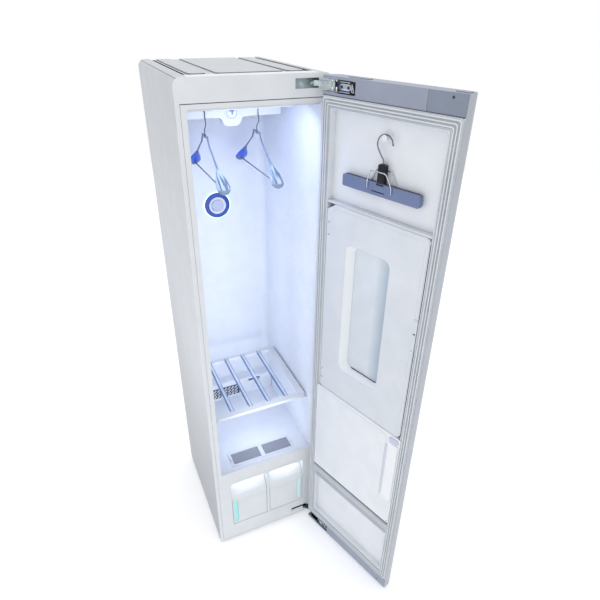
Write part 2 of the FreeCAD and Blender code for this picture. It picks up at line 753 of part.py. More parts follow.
def rack_motor():
    """Flat motor on the ceiling with its shaft up to the pulley."""
    return turned(
        [(0, 0), (26, 0), (26, 4), (20, 4), (20, 30), (8, 32), (8, 34), (3, 34), (3, 47), (0, 47)],
        Vector(PULLEY_X, RACK_Y, CHAMBER_TOP + WALL), Vector(0, 0, 1))


# ---- clothes hangers ---------------------------------------------------------------------------
def hanger_hook(x):
    """Wire hook over the bar's rounded top."""
    arc = HOOK_ARC_R
    low = HANGER_NECK_Z - 4
    top = RACK_TOP_CENTRE
    spine_edges = rounded_edges([
        (Vector(x, RACK_Y, low), 0),
        (Vector(x, RACK_Y, HANGER_NECK_Z + 18), 8),
        (Vector(x, RACK_Y - arc - 6, HANGER_NECK_Z + 38), 10),
        (Vector(x, RACK_Y - arc, top - 12), 8),
        (Vector(x, RACK_Y - arc, top), 0),
    ], False)
    over = Part.Arc(
        Vector(x, RACK_Y - arc, top), Vector(x, RACK_Y, top + arc), Vector(x, RACK_Y + arc, top))
    spine_edges.append(over.toShape())
    spine_edges.append(Part.makeLine(Vector(x, RACK_Y + arc, top), Vector(x, RACK_Y + arc, top - 14)))
    spine = Part.Wire(spine_edges)
    section = Part.Wire(Part.makeCircle(HOOK_WIRE_R, Vector(x, RACK_Y, low), Vector(0, 0, 1)))
    wire = spine.makePipeShell([section], True, True)
    tip = bead(Vector(x, RACK_Y + arc + 0.6, top - 15), Vector(0, 0, 1), HOOK_WIRE_R + 0.6)
    return join([wire, tip])


def shoulder_section(centre, heading, half_width, half_height):
    """Oval across an arm, square to the arm's heading."""
    up = Vector(1, 0, 0).cross(heading)
    wide = centre + Vector(half_width, 0, 0)
    tall = centre + up * half_height
    if half_height > half_width:
        return Part.Wire(Part.Ellipse(tall, wide, centre).toShape())
    return Part.Wire(Part.Ellipse(wide, tall, centre).toShape())


def hanger_arm(x, side):
    """One slim arm that drops from the neck and opens into a broad, rounded shoulder."""
    stations = [
        (HANGER_NECK_HALF - 2.5, -0.5, 2.8, 2.6),
        (HANGER_NECK_HALF + 16, 25.0, 2.5, 2.4),
        (0.42 * HANGER_REACH, 48.0, 2.5, 2.4),
        (0.60 * HANGER_REACH, 71.0, 3.4, 3.0),
        (0.71 * HANGER_REACH, 87.0, 10.0, 4.6),
        (0.81 * HANGER_REACH, 103.0, 18.5, 6.8),
        (0.89 * HANGER_REACH, 116.0, 22.0, 8.0),
        (0.95 * HANGER_REACH, 125.5, 19.5, 7.8),
        (0.98 * HANGER_REACH, 131.5, 13.0, 6.4),
        (0.99 * HANGER_REACH, 134.0, 5.5, 4.0),
    ]
    centres = [Vector(x, RACK_Y + side * reach, HANGER_NECK_Z - drop) for reach, drop, _, _ in stations]
    sections = []
    for index, centre in enumerate(centres):
        ahead = centres[min(index + 1, len(centres) - 1)]
        behind = centres[max(index - 1, 0)]
        heading = (ahead - behind).normalize()
        _, _, half_width, half_height = stations[index]
        sections.append(shoulder_section(centre, heading, half_width, half_height))
    return Part.makeLoft(sections, True, True)


def hanger_body(x):
    """Moulded body: narrow neck, two slim arms with broad shoulders and the trouser bar."""
    half = HANGER_NECK_HALF
    neck = front_view(rectangle(x - 3.2, x + 3.2, HANGER_NECK_Z - 3, HANGER_NECK_Z + 3, 2),
                      RACK_Y - half, RACK_Y + half)
    boss = Part.makeCylinder(4.0, 11, Vector(x, RACK_Y, HANGER_NECK_Z - 5.5))
    reach = 0.91 * HANGER_REACH
    bar = rod(Vector(x, RACK_Y - reach, HANGER_BAR_Z), Vector(x, RACK_Y + reach, HANGER_BAR_Z), 2.5)
    body = join([neck, boss, bar, hanger_arm(x, -1), hanger_arm(x, 1)])
    socket = rod(Vector(x, RACK_Y, HANGER_NECK_Z - 4), Vector(x, RACK_Y, HANGER_NECK_Z + 8), HOOK_WIRE_R)
    return body.cut(socket)


# ---- shelf -------------------------------------------------------------------------------------
SHELF_RIM = 26.0


def shelf_bar_places():
    """Sideways places of the four bars."""
    return [SHELF_BAR_PITCH * (index - 1.5) for index in range(4)]


def shelf_frame():
    """White frame with rounded corners and pockets for the bars."""
    near = SHELF_FRONT
    far = near + SHELF_LENGTH
    high = SHELF_BOTTOM + SHELF_THICK
    outline = [
        (-SHELF_HALF, near, 18),
        (SHELF_HALF, near, 18),
        (SHELF_HALF, far, 28),
        (-SHELF_HALF, far, 28),
    ]
    frame = plan(outline, SHELF_BOTTOM, high)
    inner = rectangle(-SHELF_HALF + SHELF_RIM, SHELF_HALF - SHELF_RIM, near + 30, far - 20, 8)
    frame = frame.cut(plan(inner, SHELF_BOTTOM - 1, high + 1))
    pockets = []
    for x in shelf_bar_places():
        half = SHELF_BAR_WIDTH / 2
        pockets.append(box(x - half, x + half, near + 22, far - 12, high - 8, high + 1))
    return frame.cut(Part.makeCompound(pockets))


def shelf_bars():
    """Four bars with rounded tops, let into the frame."""
    bars = []
    high = SHELF_BOTTOM + SHELF_THICK
    half = SHELF_BAR_WIDTH / 2
    for x in shelf_bar_places():
        low = high - 8
        crown = high + 2
        section = [(x - half, low), (x + half, low), (x + half, crown, 4), (x - half, crown, 4)]
        bars.append(front_view(section, SHELF_FRONT + 22, SHELF_FRONT + SHELF_LENGTH - 12))
    return bars


# ---- lint filter -------------------------------------------------------------------------------
FILTER_LOW = CHAMBER_FLOOR - 4.0
FILTER_HIGH = CHAMBER_FLOOR + 1.5


def filter_windows(grow):
    """The two mesh windows, grown by a margin."""
    near = FILTER_FRONT + 9 - grow
    far = FILTER_FRONT + FILTER_LENGTH - 11 + grow
    outer = FILTER_HALF - 12
    return [(-outer - grow, -8.5 + grow, near, far), (8.5 - grow, outer + grow, near, far)]


def lint_filter():
    """Frame with two open windows for the mesh and a finger tab at each end."""
    far = FILTER_FRONT + FILTER_LENGTH
    outline = rectangle(-FILTER_HALF, FILTER_HALF, FILTER_FRONT, far, 5.6)
    frame = plan(outline, FILTER_LOW, FILTER_HIGH)
    for left, right, near, end in filter_windows(0):
        frame = frame.cut(plan(rectangle(left, right, near, end, 3), FILTER_LOW - 1, FILTER_HIGH + 1))
    for left, right, near, end in filter_windows(2):
        frame = frame.cut(box(left, right, near, end, FILTER_LOW - 1, FILTER_LOW + 1.5))
    middle = FILTER_FRONT + FILTER_LENGTH / 2
    tabs = []
    for x in (5.5 - FILTER_HALF, FILTER_HALF - 5.5):
        grip = rectangle(x - 3.5, x + 3.5, middle - 9, middle + 9, 3)
        tabs.append(plan(grip, FILTER_HIGH, FILTER_HIGH + 5))
    return join([frame] + tabs)


# ---- tank bay and tanks ------------------------------------------------------------------------
def tank_bay():
    """Housing with a cell for each tank, open at the front."""
    near = FRONT + 1.0
    far = FRONT + BAY_DEPTH
    shell = front_view(rectangle(-BAY_HALF, BAY_HALF, BAY_BOTTOM, BAY_TOP, 7.7), near, far)
    inner = BAY_DIVIDER / 2
    for side in (-1, 1):
        cell = rectangle(inner, BAY_HALF - 2, BAY_BOTTOM + 2, BAY_TOP - 2, 2)
        cut = front_view(cell, near - 1, far - 2)
        shell = shell.cut(cut if side > 0 else mirrored(cut))
    return shell


def tank_left():
    """Left limit of the right-hand tank."""
    return BAY_DIVIDER / 2 + TANK_GAP


def tank_right():
    """Right limit of the right-hand tank."""
    return BAY_HALF - 2 - TANK_GAP


def tank_profile(inset):
    """Side outline of a tank with its scooped grip, shrunk by an inset."""
    near = FRONT + 4.0 + inset
    far = FRONT + BAY_DEPTH - 4 - inset
    low = BAY_BOTTOM + 2 + PLAY + inset
    high = TANK_TOP - inset
    lean = inset * 0.4
    return [
        (near, low, 3),
        (far, low, 3),
        (far, high, 3),
        (near + GRIP_DEPTH, high, 4),
        (near + 8, GRIP_BOTTOM + 14 - lean, 16),
        (near, GRIP_BOTTOM - 14 - lean, 16),
    ]


NECK_R = 22.0


def tank_body():
    """Right-hand tank: a hollow body with a filling neck."""
    left = tank_left() + 0.5
    right = tank_right() - 0.5
    body = side_view(tank_profile(0), left, right)
    hollow = side_view(tank_profile(WALL), left + WALL, right - WALL)
    middle = (left + right) / 2
    neck_y = FRONT + 122
    neck = rod(Vector(middle, neck_y, TANK_TOP - 1), Vector(middle, neck_y, TANK_TOP + 12), NECK_R)
    mouth = rod(Vector(middle, neck_y, TANK_TOP - 6), Vector(middle, neck_y, TANK_TOP + 13), NECK_R - WALL)
    return join([body, neck]).cut(hollow.fuse(mouth))


def tank_front():
    """White cover over the tank's front and grip, with the slot of the level window."""
    near = FRONT + 1.5
    face = FRONT + 4.0
    outer = [
        (near, BAY_BOTTOM + 3.5, 1),
        (face, BAY_BOTTOM + 3.5),
        (face, GRIP_BOTTOM - 14, 16),
        (face + 8, GRIP_BOTTOM + 14, 16),
        (face + GRIP_DEPTH - 2.3, TANK_TOP - 0.3),
        (face + GRIP_DEPTH - 5.5, TANK_TOP - 0.3, 1),
        (near + 8, GRIP_BOTTOM + 14, 18),
        (near, GRIP_BOTTOM - 14, 18),
    ]
    cover = side_view(outer, tank_left(), tank_right())
    right = tank_right() - 7
    left = right - LEVEL_WINDOW_WIDTH
    slot = front_view(
        rectangle(left, right, LEVEL_WINDOW_LOW, LEVEL_WINDOW_HIGH - 8, LEVEL_WINDOW_WIDTH / 2 - 0.1),
        near - 1, face + 1)
    return cover.cut(slot)


# ---- machine space -----------------------------------------------------------------------------
MACHINE_NEAR = FRONT + BAY_DEPTH + 4
EXCHANGER_LOW = 102.0
EXCHANGER_DEPTH = 46.0
EYE_OPENING_R = 44.0
SHAFT_R = 4.0
OUTLET_LOW = CHAMBER_FLOOR - 45.0
SCROLL_TONGUE = 110.0
SCROLL_GROWTH = 24.0
DUCT_LEFT = 17.5 - HALF_W
DUCT_RIGHT = 30.0
BLOWER_X = -90.0
BLOWER_Z = 210.0
BLOWER_R = 62.0
BLOWER_NEAR = BACK - 144.0
BLOWER_FAR = BACK - 88.0


def scroll(points, near, far, inset):
    """Scroll outline as a block, shrunk towards its middle."""
    moved = []
    for x, z in points:
        away = Vector(x - BLOWER_X, 0, z - BLOWER_Z)
        scale = 1 - inset / away.Length
        moved.append((BLOWER_X + away.x * scale, BLOWER_Z + away.z * scale))
    return front_view(moved, near, far)


COMPRESSOR_X = 130.0
COMPRESSOR_HEIGHT = 202.0
COMPRESSOR_Y = BACK - 104.0


def air_duct():
    """Flat duct from the filter back over the tank bay and down round the heat exchangers."""
    low = BAY_TOP + 8
    high = CHAMBER_FLOOR - WALL
    near = FILTER_FRONT - 6
    far = MACHINE_NEAR + 40
    flat = box(-FILTER_HALF - 6, FILTER_HALF + 6, near, far, low, high)
    case = box(DUCT_LEFT, DUCT_RIGHT, MACHINE_NEAR, BLOWER_NEAR, EXCHANGER_LOW - 2, low)
    flat_air = box(-FILTER_HALF - 4, FILTER_HALF + 4, near + 2, far - 2, low + 2, high - 2)
    case_air = box(DUCT_LEFT + 2, DUCT_RIGHT - 2, MACHINE_NEAR + 2, BLOWER_NEAR - 2, EXCHANGER_LOW, low - 2)
    drop = box(-FILTER_HALF, DUCT_RIGHT - 4, MACHINE_NEAR + 4, far - 4, low - 3, low + 3)
    mouth_near = FILTER_FRONT + 4
    mouth_far = FILTER_FRONT + FILTER_LENGTH - 4
    mouth = box(-FILTER_HALF + 6, FILTER_HALF - 6, mouth_near, mouth_far, high - 3, high + 1)
    edge = 0.4
    ledge = plan(rectangle(-FILTER_HALF - edge, FILTER_HALF + edge, FILTER_FRONT - edge,
                           FILTER_FRONT + FILTER_LENGTH + edge, 6), FILTER_LOW - PLAY, high + 1)
    eye_start = Vector(BLOWER_X, BLOWER_NEAR - 3, BLOWER_Z)
    eye = rod(eye_start, eye_start + Vector(0, 4, 0), EYE_OPENING_R)
    duct = join([flat, case]).cut(Part.makeCompound([flat_air, case_air]))
    return duct.cut(drop).cut(mouth).cut(ledge).cut(eye)


def heat_exchanger(near):
    """Fin pack on a row of tubes, standing on the duct's floor."""
    depth = EXCHANGER_DEPTH
    high = EXCHANGER_LOW + 222.0
    pieces = []
    fins = 9
    left = DUCT_LEFT + 12
    right = DUCT_RIGHT - 12
    pitch = (right - left) / (fins - 1)
    for index in range(fins):
        x = left + pitch * index
        pieces.append(box(x - 1, x + 1, near, near + depth, EXCHANGER_LOW, high))
    tubes = 3
    for index in range(tubes):
        z = EXCHANGER_LOW + 25 + 172 * index / (tubes - 1)
        y = near + depth / 2
        pieces.append(rod(Vector(left - 4, y, z), Vector(right + 4, y, z), 5.0))
    return join(pieces)


def blower_housing():
    """Scroll housing with the duct that carries the air up to the grille."""
    outer = []
    steps = 12
    for step in range(steps + 1):
        angle = math.radians(SCROLL_TONGUE - (180 + SCROLL_TONGUE) * step / steps)
        radius = BLOWER_R + 8 + SCROLL_GROWTH * step / steps
        outer.append((BLOWER_X + radius * math.cos(angle), BLOWER_Z + radius * math.sin(angle)))
    outer.append((outer[-1][0], OUTLET_LOW))
    outer.append((outer[0][0], OUTLET_LOW))
    near = BLOWER_NEAR
    far = BLOWER_FAR
    body = scroll(outer, near, far, 0)
    hollow = scroll(outer, near + 2, far - 2, 2.5)
    chute = duct_chute(0, CHAMBER_BACK + WALL)
    chute_air = duct_chute(2, CHAMBER_BACK + WALL - 1)
    passage = box(AIR_LEFT + 4, outer[0][0] - 4, near + 3, far - 3, OUTLET_LOW - 6, OUTLET_LOW + 5)
    eye = rod(Vector(BLOWER_X, near - 1, BLOWER_Z), Vector(BLOWER_X, near + 4, BLOWER_Z), EYE_OPENING_R)
    shaft = rod(Vector(BLOWER_X, far - 4, BLOWER_Z), Vector(BLOWER_X, far + 1, BLOWER_Z), 8.0)
    housing = join([body, chute])
    return housing.cut(Part.makeCompound([hollow, chute_air])).cut(passage).cut(eye).cut(shaft)


def duct_chute(inset, mouth):
    """Sloping outlet duct from over the scroll to the opening in the back wall."""
    rear = BACK - 8 - inset
    top = CHAMBER_FLOOR + 74 - inset
    step = CHAMBER_BACK + WALL + inset
    roof = CHAMBER_FLOOR - WALL - 2 - inset
    profile = [
        (BLOWER_NEAR + inset, OUTLET_LOW + inset),
        (BLOWER_FAR - inset, OUTLET_LOW + inset),
        (rear, OUTLET_LOW + 12 + inset),
        (rear, top),
        (mouth, top),
        (mouth, CHAMBER_FLOOR + 9),
        (step, CHAMBER_FLOOR + 9),
        (step, roof),
        (BLOWER_NEAR + inset, roof),
    ]
    if inset == 0:
        profile.remove((step, CHAMBER_FLOOR + 9))
        profile.remove((mouth, CHAMBER_FLOOR + 9))
    return side_view(profile, AIR_LEFT - 2 + inset, AIR_RIGHT + 2 - inset)


def blower_impeller():
    """Squirrel-cage wheel: back disc, blades, front ring and its shaft."""
    near = BLOWER_NEAR + 6
    far = BLOWER_FAR - 6
    outer_r = BLOWER_R - 4

    def disc(start, end, radius):
        return rod(Vector(BLOWER_X, start, BLOWER_Z), Vector(BLOWER_X, end, BLOWER_Z), radius)

    ring_front = disc(near, near + 3, outer_r).cut(disc(near - 1, near + 4, outer_r - 14))
    pieces = [disc(far - 3, far, outer_r), ring_front, disc(near + 12, far, 12.0)]
    pieces.append(disc(far - 1, BLOWER_FAR + 16, SHAFT_R))
    blades = 18
    for index in range(blades):
        tip = outer_r - 1
        root = outer_r - 13
        blade = front_view([(root, -3.5), (tip, 0.5), (tip, 2.5), (root, -1.5)], near + 1, far - 1)
        blade.rotate(Vector(0, 0, 0), Vector(0, 1, 0), 360.0 / blades * index)
        blade.translate(Vector(BLOWER_X, 0, BLOWER_Z))
        pieces.append(blade)
    return join(pieces)


def blower_motor():
    """Motor behind the housing, bored for the wheel's shaft."""
    base = Vector(BLOWER_X, BLOWER_FAR, BLOWER_Z)
    bore = SHAFT_R + RUN_CLEARANCE
    return turned(
        [(bore, 0), (34, 0), (34, 4), (28, 6), (28, 38, 5), (0, 38), (0, 18), (bore, 18)],
        base, Vector(0, 1, 0))


def compressor():
    """Rotary compressor: domed can on three legs, with its accumulator."""
    base = Vector(COMPRESSOR_X, COMPRESSOR_Y, TRAY_TOP + 14)
    tall = COMPRESSOR_HEIGHT
    can = turned(
        [(0, 0), (46, 0, 8), (54, 12, 10), (54, tall - 26, 14), (44, tall - 6, 14), (0, tall)],
        base, Vector(0, 0, 1))
    pieces = [can]
    leg_points = []
    for step in range(3):
        angle = math.radians(90 + 120 * step)
        across = Vector(math.cos(angle), math.sin(angle), 0)
        leg_points.append((COMPRESSOR_X + 84 * across.x, COMPRESSOR_Y + 84 * across.y, 14))
        place = Vector(COMPRESSOR_X, COMPRESSOR_Y, TRAY_TOP) + across * 58
        pieces.append(turned([(0, 0), (12, 0), (9, 6), (12, 13), (0, 13)], place, Vector(0, 0, 1)))
    pieces.append(plan(leg_points, TRAY_TOP + 12, TRAY_TOP + 15))
    pot = Vector(COMPRESSOR_X - 62, COMPRESSOR_Y - 34, TRAY_TOP + 60)
    pieces.append(turned(
        [(0, 0), (10, 0), (20, 12, 6), (20, 108, 6), (10, 120), (0, 120)], pot, Vector(0, 0, 1)))
    elbow = pot + Vector(0, 0, 20)
    pieces.append(rod(elbow, Vector(COMPRESSOR_X - 20, COMPRESSOR_Y - 10, elbow.z), 6.0))
    stub = base + Vector(0, 0, tall - 6)
    pieces.append(rod(stub, stub + Vector(0, 0, 16), 10.0))
    return join(pieces)


def control_box():
    """Main electronics: open tray with the circuit board and its taller parts."""
    low = CHAMBER_TOP + WALL
    left = 52.5 - HALF_W
    right = left + 110
    far = CHAMBER_BACK - 13
    near = far - 160
    case = plan(rectangle(left, right, near, far, 4), low, low + 34)
    room = rectangle(left + 3, right - 3, near + 3, far - 3, 3)
    case = case.cut(plan(room, low + 4, low + 35))
    parts = [case]
    tall_parts = ((30, 30, 26, 22), (75, 40, 20, 16), (30, 100, 30, 26), (80, 120, 22, 12))
    for across, along, size, height in tall_parts:
        start = Vector(left + across - size / 2, near + along - size / 2, low + 4)
        parts.append(Part.makeBox(size, size, height, start))
    return join(parts)


def steam_generator():
    """Cast boiler block with two ports and a heater flange."""
    left = 70.0
    right = 205.0
    near = MACHINE_NEAR + 8
    far = near + 80
    body = side_view([(near, 110, 8), (far, 110, 8), (far, 200, 14), (near, 200, 14)], left, right)
    flange = side_view(rectangle(near - 3, near + 83, 150, 158, 3), left - 3, right + 3)
    outlet = rod(Vector(105, near + 40, 198), Vector(105, near + 40, 216), 8.0)
    legs = []
    for x in (left + 14, right - 14):
        legs.append(box(x - 8, x + 8, near + 10, near + 70, TRAY_TOP, 112))
    return join([body, flange, outlet] + legs)


def water_pumps():
    """Supply pump and drain pump on the tray, behind the tanks."""
    pumps = []
    for x in (-150.0, -60.0):
        body = turned(
            [(0, 0), (24, 0), (24, 10), (17, 12), (17, 52, 4), (0, 52)],
            Vector(x, MACHINE_NEAR + 30, TRAY_TOP), Vector(0, 0, 1))
        port = rod(Vector(x, MACHINE_NEAR + 30, TRAY_TOP + 6), Vector(x, MACHINE_NEAR + 2, TRAY_TOP + 6), 4.0)
        pumps.append(join([body, port]))
    return pumps


# ---- hinges ------------------------------------------------------------------------------------
def hinge_plate(z):
    """Cabinet half of a hinge: face plate, forward arm and the eye round the pin."""
    half = HINGE_PLATE_HEIGHT / 2
    right = HINGE_PLATE_LEFT + HINGE_PLATE_WIDTH
    plate = box(HINGE_PLATE_LEFT, right, FRONT - 0.5, FRONT + 1.5, z - half, z + half)
    holes = []
    for x in (HINGE_PLATE_LEFT + 14, HINGE_PLATE_LEFT + 48):
        holes.append(turned([(0, 0), (4, 0), (0, 2.5)], Vector(x, FRONT - 0.5, z), Vector(0, 1, 0)))
    plate = plate.cut(Part.makeCompound(holes))
    low = z - ARM_THICK / 2
    high = z + ARM_THICK / 2
    root = Vector(right - 2, FRONT - 3.6, 0)
    eye = Vector(HINGE_X, HINGE_Y, 0)
    along = (eye - root).normalize()
    across = Vector(-along.y, along.x, 0)
    arm = plan([
        (right - 16, FRONT + 1.5),
        (right - 16, FRONT - 3.5),
        (root.x - across.x * 7, root.y - across.y * 7, 3),
        (eye.x - across.x * 7, eye.y - across.y * 7),
        (eye.x + across.x * 7, eye.y + across.y * 7),
        (right + 10, FRONT - 3.4, 3),
        (right, FRONT - 0.8),
        (right, FRONT + 1.5),
    ], low, high)
    boss = Part.makeCylinder(EYE_R, ARM_THICK, Vector(HINGE_X, HINGE_Y, low))
    bore = Part.makeCylinder(PIN_R + RUN_CLEARANCE, ARM_THICK + 2, Vector(HINGE_X, HINGE_Y, low - 1))
    return join([plate, arm, boss]).cut(bore)


def leaf_outline():
    """Outline of the hinge leaf that reaches from the pin along the door."""
    return [(3, 18, 6), (16, 5, 6), (HINGE_RECESS_LENGTH - 3, 5, 2), (HINGE_RECESS_LENGTH - 3, 22, 2),
            (48, 23, 10), (34, 42, 8), (3, 42, 6)]


def hinge_leaf(z):
    """Door half of a hinge: two leaves joined by a back web, bored for the pin."""
    half = HINGE_RECESS / 2 - PLAY
    upper = plan(leaf_outline(), z + half - 2, z + half)
    lower = plan(leaf_outline(), z - half, z - half + 2)
    far = HINGE_RECESS_LENGTH - 3
    web = box(56, far, 20, 22, z - half, z + half)
    face = box(HINGE_FACE_LEFT, far, 5, 7, z - half, z + half)
    bore = Part.makeCylinder(PIN_R, HINGE_RECESS + 2, Vector(HINGE_U, HINGE_M, z - HINGE_RECESS / 2 - 1))
    slot = front_view(rectangle(HINGE_FACE_LEFT + 6, far - 24, z - 4.5, z + 4.5, 4.4), 4, 8)
    screw = rod(Vector(far - 12, 4, z), Vector(far - 12, 8, z), 4.2)
    return join([upper, lower, web, face]).cut([bore, slot, screw])


def hinge_pin(z):
    """Headed pin through both leaves and the eye."""
    half = HINGE_RECESS / 2 - PLAY
    shank = Part.makeCylinder(PIN_R, 2 * half, Vector(HINGE_U, HINGE_M, z - half))
    return shank


# ---- door shell --------------------------------------------------------------------------------
def door_profile(inset):
    """Plan outline of the door with its rounded outer edges."""
    radius = DOOR_EDGE_R - inset
    return [
        (inset, 0),
        (DOOR_WIDTH - inset, 0),
        (DOOR_WIDTH - inset, DOOR_THICK - inset, radius),
        (inset, DOOR_THICK - inset, radius),
    ]


def hinge_room(z):
    """Room in the door for one hinge, open to the inner face and the hinge edge."""
    half = HINGE_RECESS / 2
    run = box(-1, HINGE_RECESS_LENGTH, -1, 24, z - half, z + half)
    corner = box(-1, 50, -1, 44, z - half, z + half)
    return run.fuse(corner)


CONTROL_LEFT = DOOR_WIDTH / 2 - 35.5
CONTROL_RIGHT = DOOR_WIDTH / 2 + 35.5
CONTROL_HIGH = DOOR_TOP - 348.0
CONTROL_LOW = CONTROL_HIGH - 170.0


def door_skin():
    """Outer shell of the door, bent round both long edges."""
    outer = plan(door_profile(0), DOOR_BOTTOM, DOOR_TOP)
    hollow = door_profile(DOOR_SKIN)
    hollow[0] = (DOOR_SKIN, -1)
    hollow[1] = (DOOR_WIDTH - DOOR_SKIN, -1)
    skin = outer.cut(plan(hollow, DOOR_BOTTOM - 1, DOOR_TOP + 1))
    window = rectangle(CONTROL_LEFT, CONTROL_RIGHT, CONTROL_LOW, CONTROL_HIGH, 6)
    skin = skin.cut(front_view(window, DOOR_THICK - 4, DOOR_THICK + 1))
    for z in (TOP_HINGE_Z, BOTTOM_HINGE_Z):
        skin = skin.cut(hinge_room(z))
    return skin


def door_cap(low, high, hinge_z, closed_side):
    """End cap inside the skin, hollow behind its inner face, with the hinge's room."""
    solid = plan(door_profile(DOOR_SKIN + 0.2), low, high)
    hollow = [
        (5, 3.5),
        (DOOR_WIDTH - 5, 3.5),
        (DOOR_WIDTH - 5, DOOR_THICK - 5, DOOR_EDGE_R - 6),
        (5, DOOR_THICK - 5, DOOR_EDGE_R - 6),
    ]
    if closed_side == "top":
        solid = solid.cut(plan(hollow, low - 1, high - 3))
    else:
        solid = solid.cut(plan(hollow, low + 3, high + 1))
    return solid.cut(hinge_room(hinge_z))


def door_top_cap():
    """Top cap with two low pads and the small hole of the door sensor."""
    cap = door_cap(INNER_TOP, DOOR_TOP, TOP_HINGE_Z, "top")
    sensor = Vector(DOOR_WIDTH - 39, -1, DOOR_TOP - 10)
    hole = rod(sensor, sensor + Vector(0, 6, 0), 3.6)
    pads = []
    for left, right in ((78.0, 150.0), (DOOR_WIDTH - 47, DOOR_WIDTH - 9)):
        pads.append(plan(rectangle(left, right, 14, 30, 3), DOOR_TOP, DOOR_TOP + 2))
    seam_u = DOOR_WIDTH - 106
    seam = box(seam_u, seam_u + 1, -1, 1, INNER_TOP - 1, DOOR_TOP + 1)
    return join([cap] + pads).cut([hole, seam])


def door_bottom_cap():
    """Bottom cap with its small screw hole."""
    cap = door_cap(DOOR_BOTTOM, INNER_BOTTOM, BOTTOM_HINGE_Z, "bottom")
    screw = Vector(DOOR_WIDTH - 42, -1, DOOR_BOTTOM + 11)
    return cap.cut(rod(screw, screw + Vector(0, 6, 0), 3.6))


def tray_block(left, right, low, high, radius, depth, grow):
    """Block of a lining tray, grown on all sides."""
    outline = rectangle(left - grow, right + grow, low - grow, high + grow, radius + grow)
    return front_view(outline, WALL, depth + grow)


def door_liner():
    """Moulded inner face: frame, both recesses, the hanger's peg and the press cover's ears."""
    edge = DOOR_SKIN + 0.2
    plate = front_view(rectangle(edge, DOOR_WIDTH - edge, INNER_BOTTOM, INNER_TOP), 0, WALL)

    def recesses(grow):
        left = RECESS_LEFT
        right = RECESS_RIGHT
        low = RECESS_BOTTOM
        return [
            tray_block(left, right, low, RECESS_STEP, 10, RECESS_DEEP, grow),
            tray_block(left, right, low, RECESS_TOP, 10, RECESS_SHALLOW, grow),
            tray_block(left, right, LOWER_RECESS_BOTTOM, LOWER_RECESS_TOP, 10, LOWER_RECESS_DEPTH, grow),
        ]

    shell = join([plate] + recesses(WALL))
    upper = rectangle(RECESS_LEFT, RECESS_RIGHT, RECESS_BOTTOM, RECESS_TOP, 10)
    lower = rectangle(RECESS_LEFT, RECESS_RIGHT, LOWER_RECESS_BOTTOM, LOWER_RECESS_TOP, 10)
    mouths = [front_view(upper, -1, WALL + 1), front_view(lower, -1, WALL + 1)]
    shell = shell.cut(mouths + recesses(0))
    pieces = [shell]
    pieces.append(turned(
        [(0, -1), (14, -1), (14, 0), (12, 3), (PEG_R, 4), (PEG_R, 17), (PEG_R + 2, 18),
         (PEG_R + 2, 20, 0.8), (0, 20)],
        Vector(PEG_U, RECESS_SHALLOW, PEG_Z), Vector(0, -1, 0)))
    for z in cover_pin_places():
        for low in (z - EAR_OUTER, z + EAR_OUTER - EAR_THICK):
            ear = plan([(RECESS_LEFT - 1, 3), (COVER_AXIS_U + 3, 1.2, 2), (COVER_AXIS_U + 3, 7.2, 2),
                        (RECESS_LEFT - 1, 16)], low, low + EAR_THICK)
            pieces.append(ear)
    liner = join(pieces)
    for z in cover_pin_places():
        start = Vector(COVER_AXIS_U, COVER_AXIS_M, z - EAR_OUTER - 1)
        liner = liner.cut(rod(start, start + Vector(0, 0, 2 * EAR_OUTER + 2), COVER_PIN_R + RUN_CLEARANCE))
    return liner


def door_gasket():
    """Seal with three ribs all round the inner face, and a bar between the two spaces."""
    left = 6.0
    right = DOOR_WIDTH - 6.0
    low = INNER_BOTTOM + 6
    high = INNER_TOP - 4
    base = ring(left, right, low, high, 8, GASKET_WIDTH, -1.2, 0)
    pieces = [base]
    rib = 3.4
    for index in range(3):
        step = index * (GASKET_WIDTH - rib) / 2
        pieces.append(ring(
            left + step, right - step, low + step, high - step, 8, rib, -GASKET_PROUD, -1.2))
    bar_low = RECESS_BOTTOM - 32
    bar_left = left + GASKET_WIDTH
    bar_right = right - GASKET_WIDTH
    pieces.append(box(bar_left, bar_right, -1.2, 0, bar_low, bar_low + GASKET_WIDTH))
    for index in range(2):
        start = bar_low + 3 + index * 10
        pieces.append(box(bar_left, bar_right, -GASKET_PROUD, -1.2, start, start + rib))
    return join(pieces)


def control_window():
    """Dark glass of the controls, flush in the door's outer face."""
    outline = rectangle(
        CONTROL_LEFT + 0.2, CONTROL_RIGHT - 0.2, CONTROL_LOW + 0.2, CONTROL_HIGH - 0.2, 5.8)
    return front_view(outline, DOOR_THICK - 3.5, DOOR_THICK)


# ---- trouser press -----------------------------------------------------------------------------
def press_board():
    """Flat board that the trousers are pressed against."""
    left = RECESS_LEFT + 4
    right = RECESS_RIGHT - 4
    board = front_view(rectangle(left, right, COVER_BOTTOM - 2, RECESS_STEP - 8, 8), BOARD_M, BOARD_M + 4)
    rib_heights = (COVER_BOTTOM + 54, (COVER_BOTTOM + COVER_TOP) / 2 - 4, COVER_TOP - 63)
    ribs = [box(left + 6, right - 6, BOARD_M + 4, RECESS_DEEP, z, z + 6) for z in rib_heights]
    return join([board] + ribs)


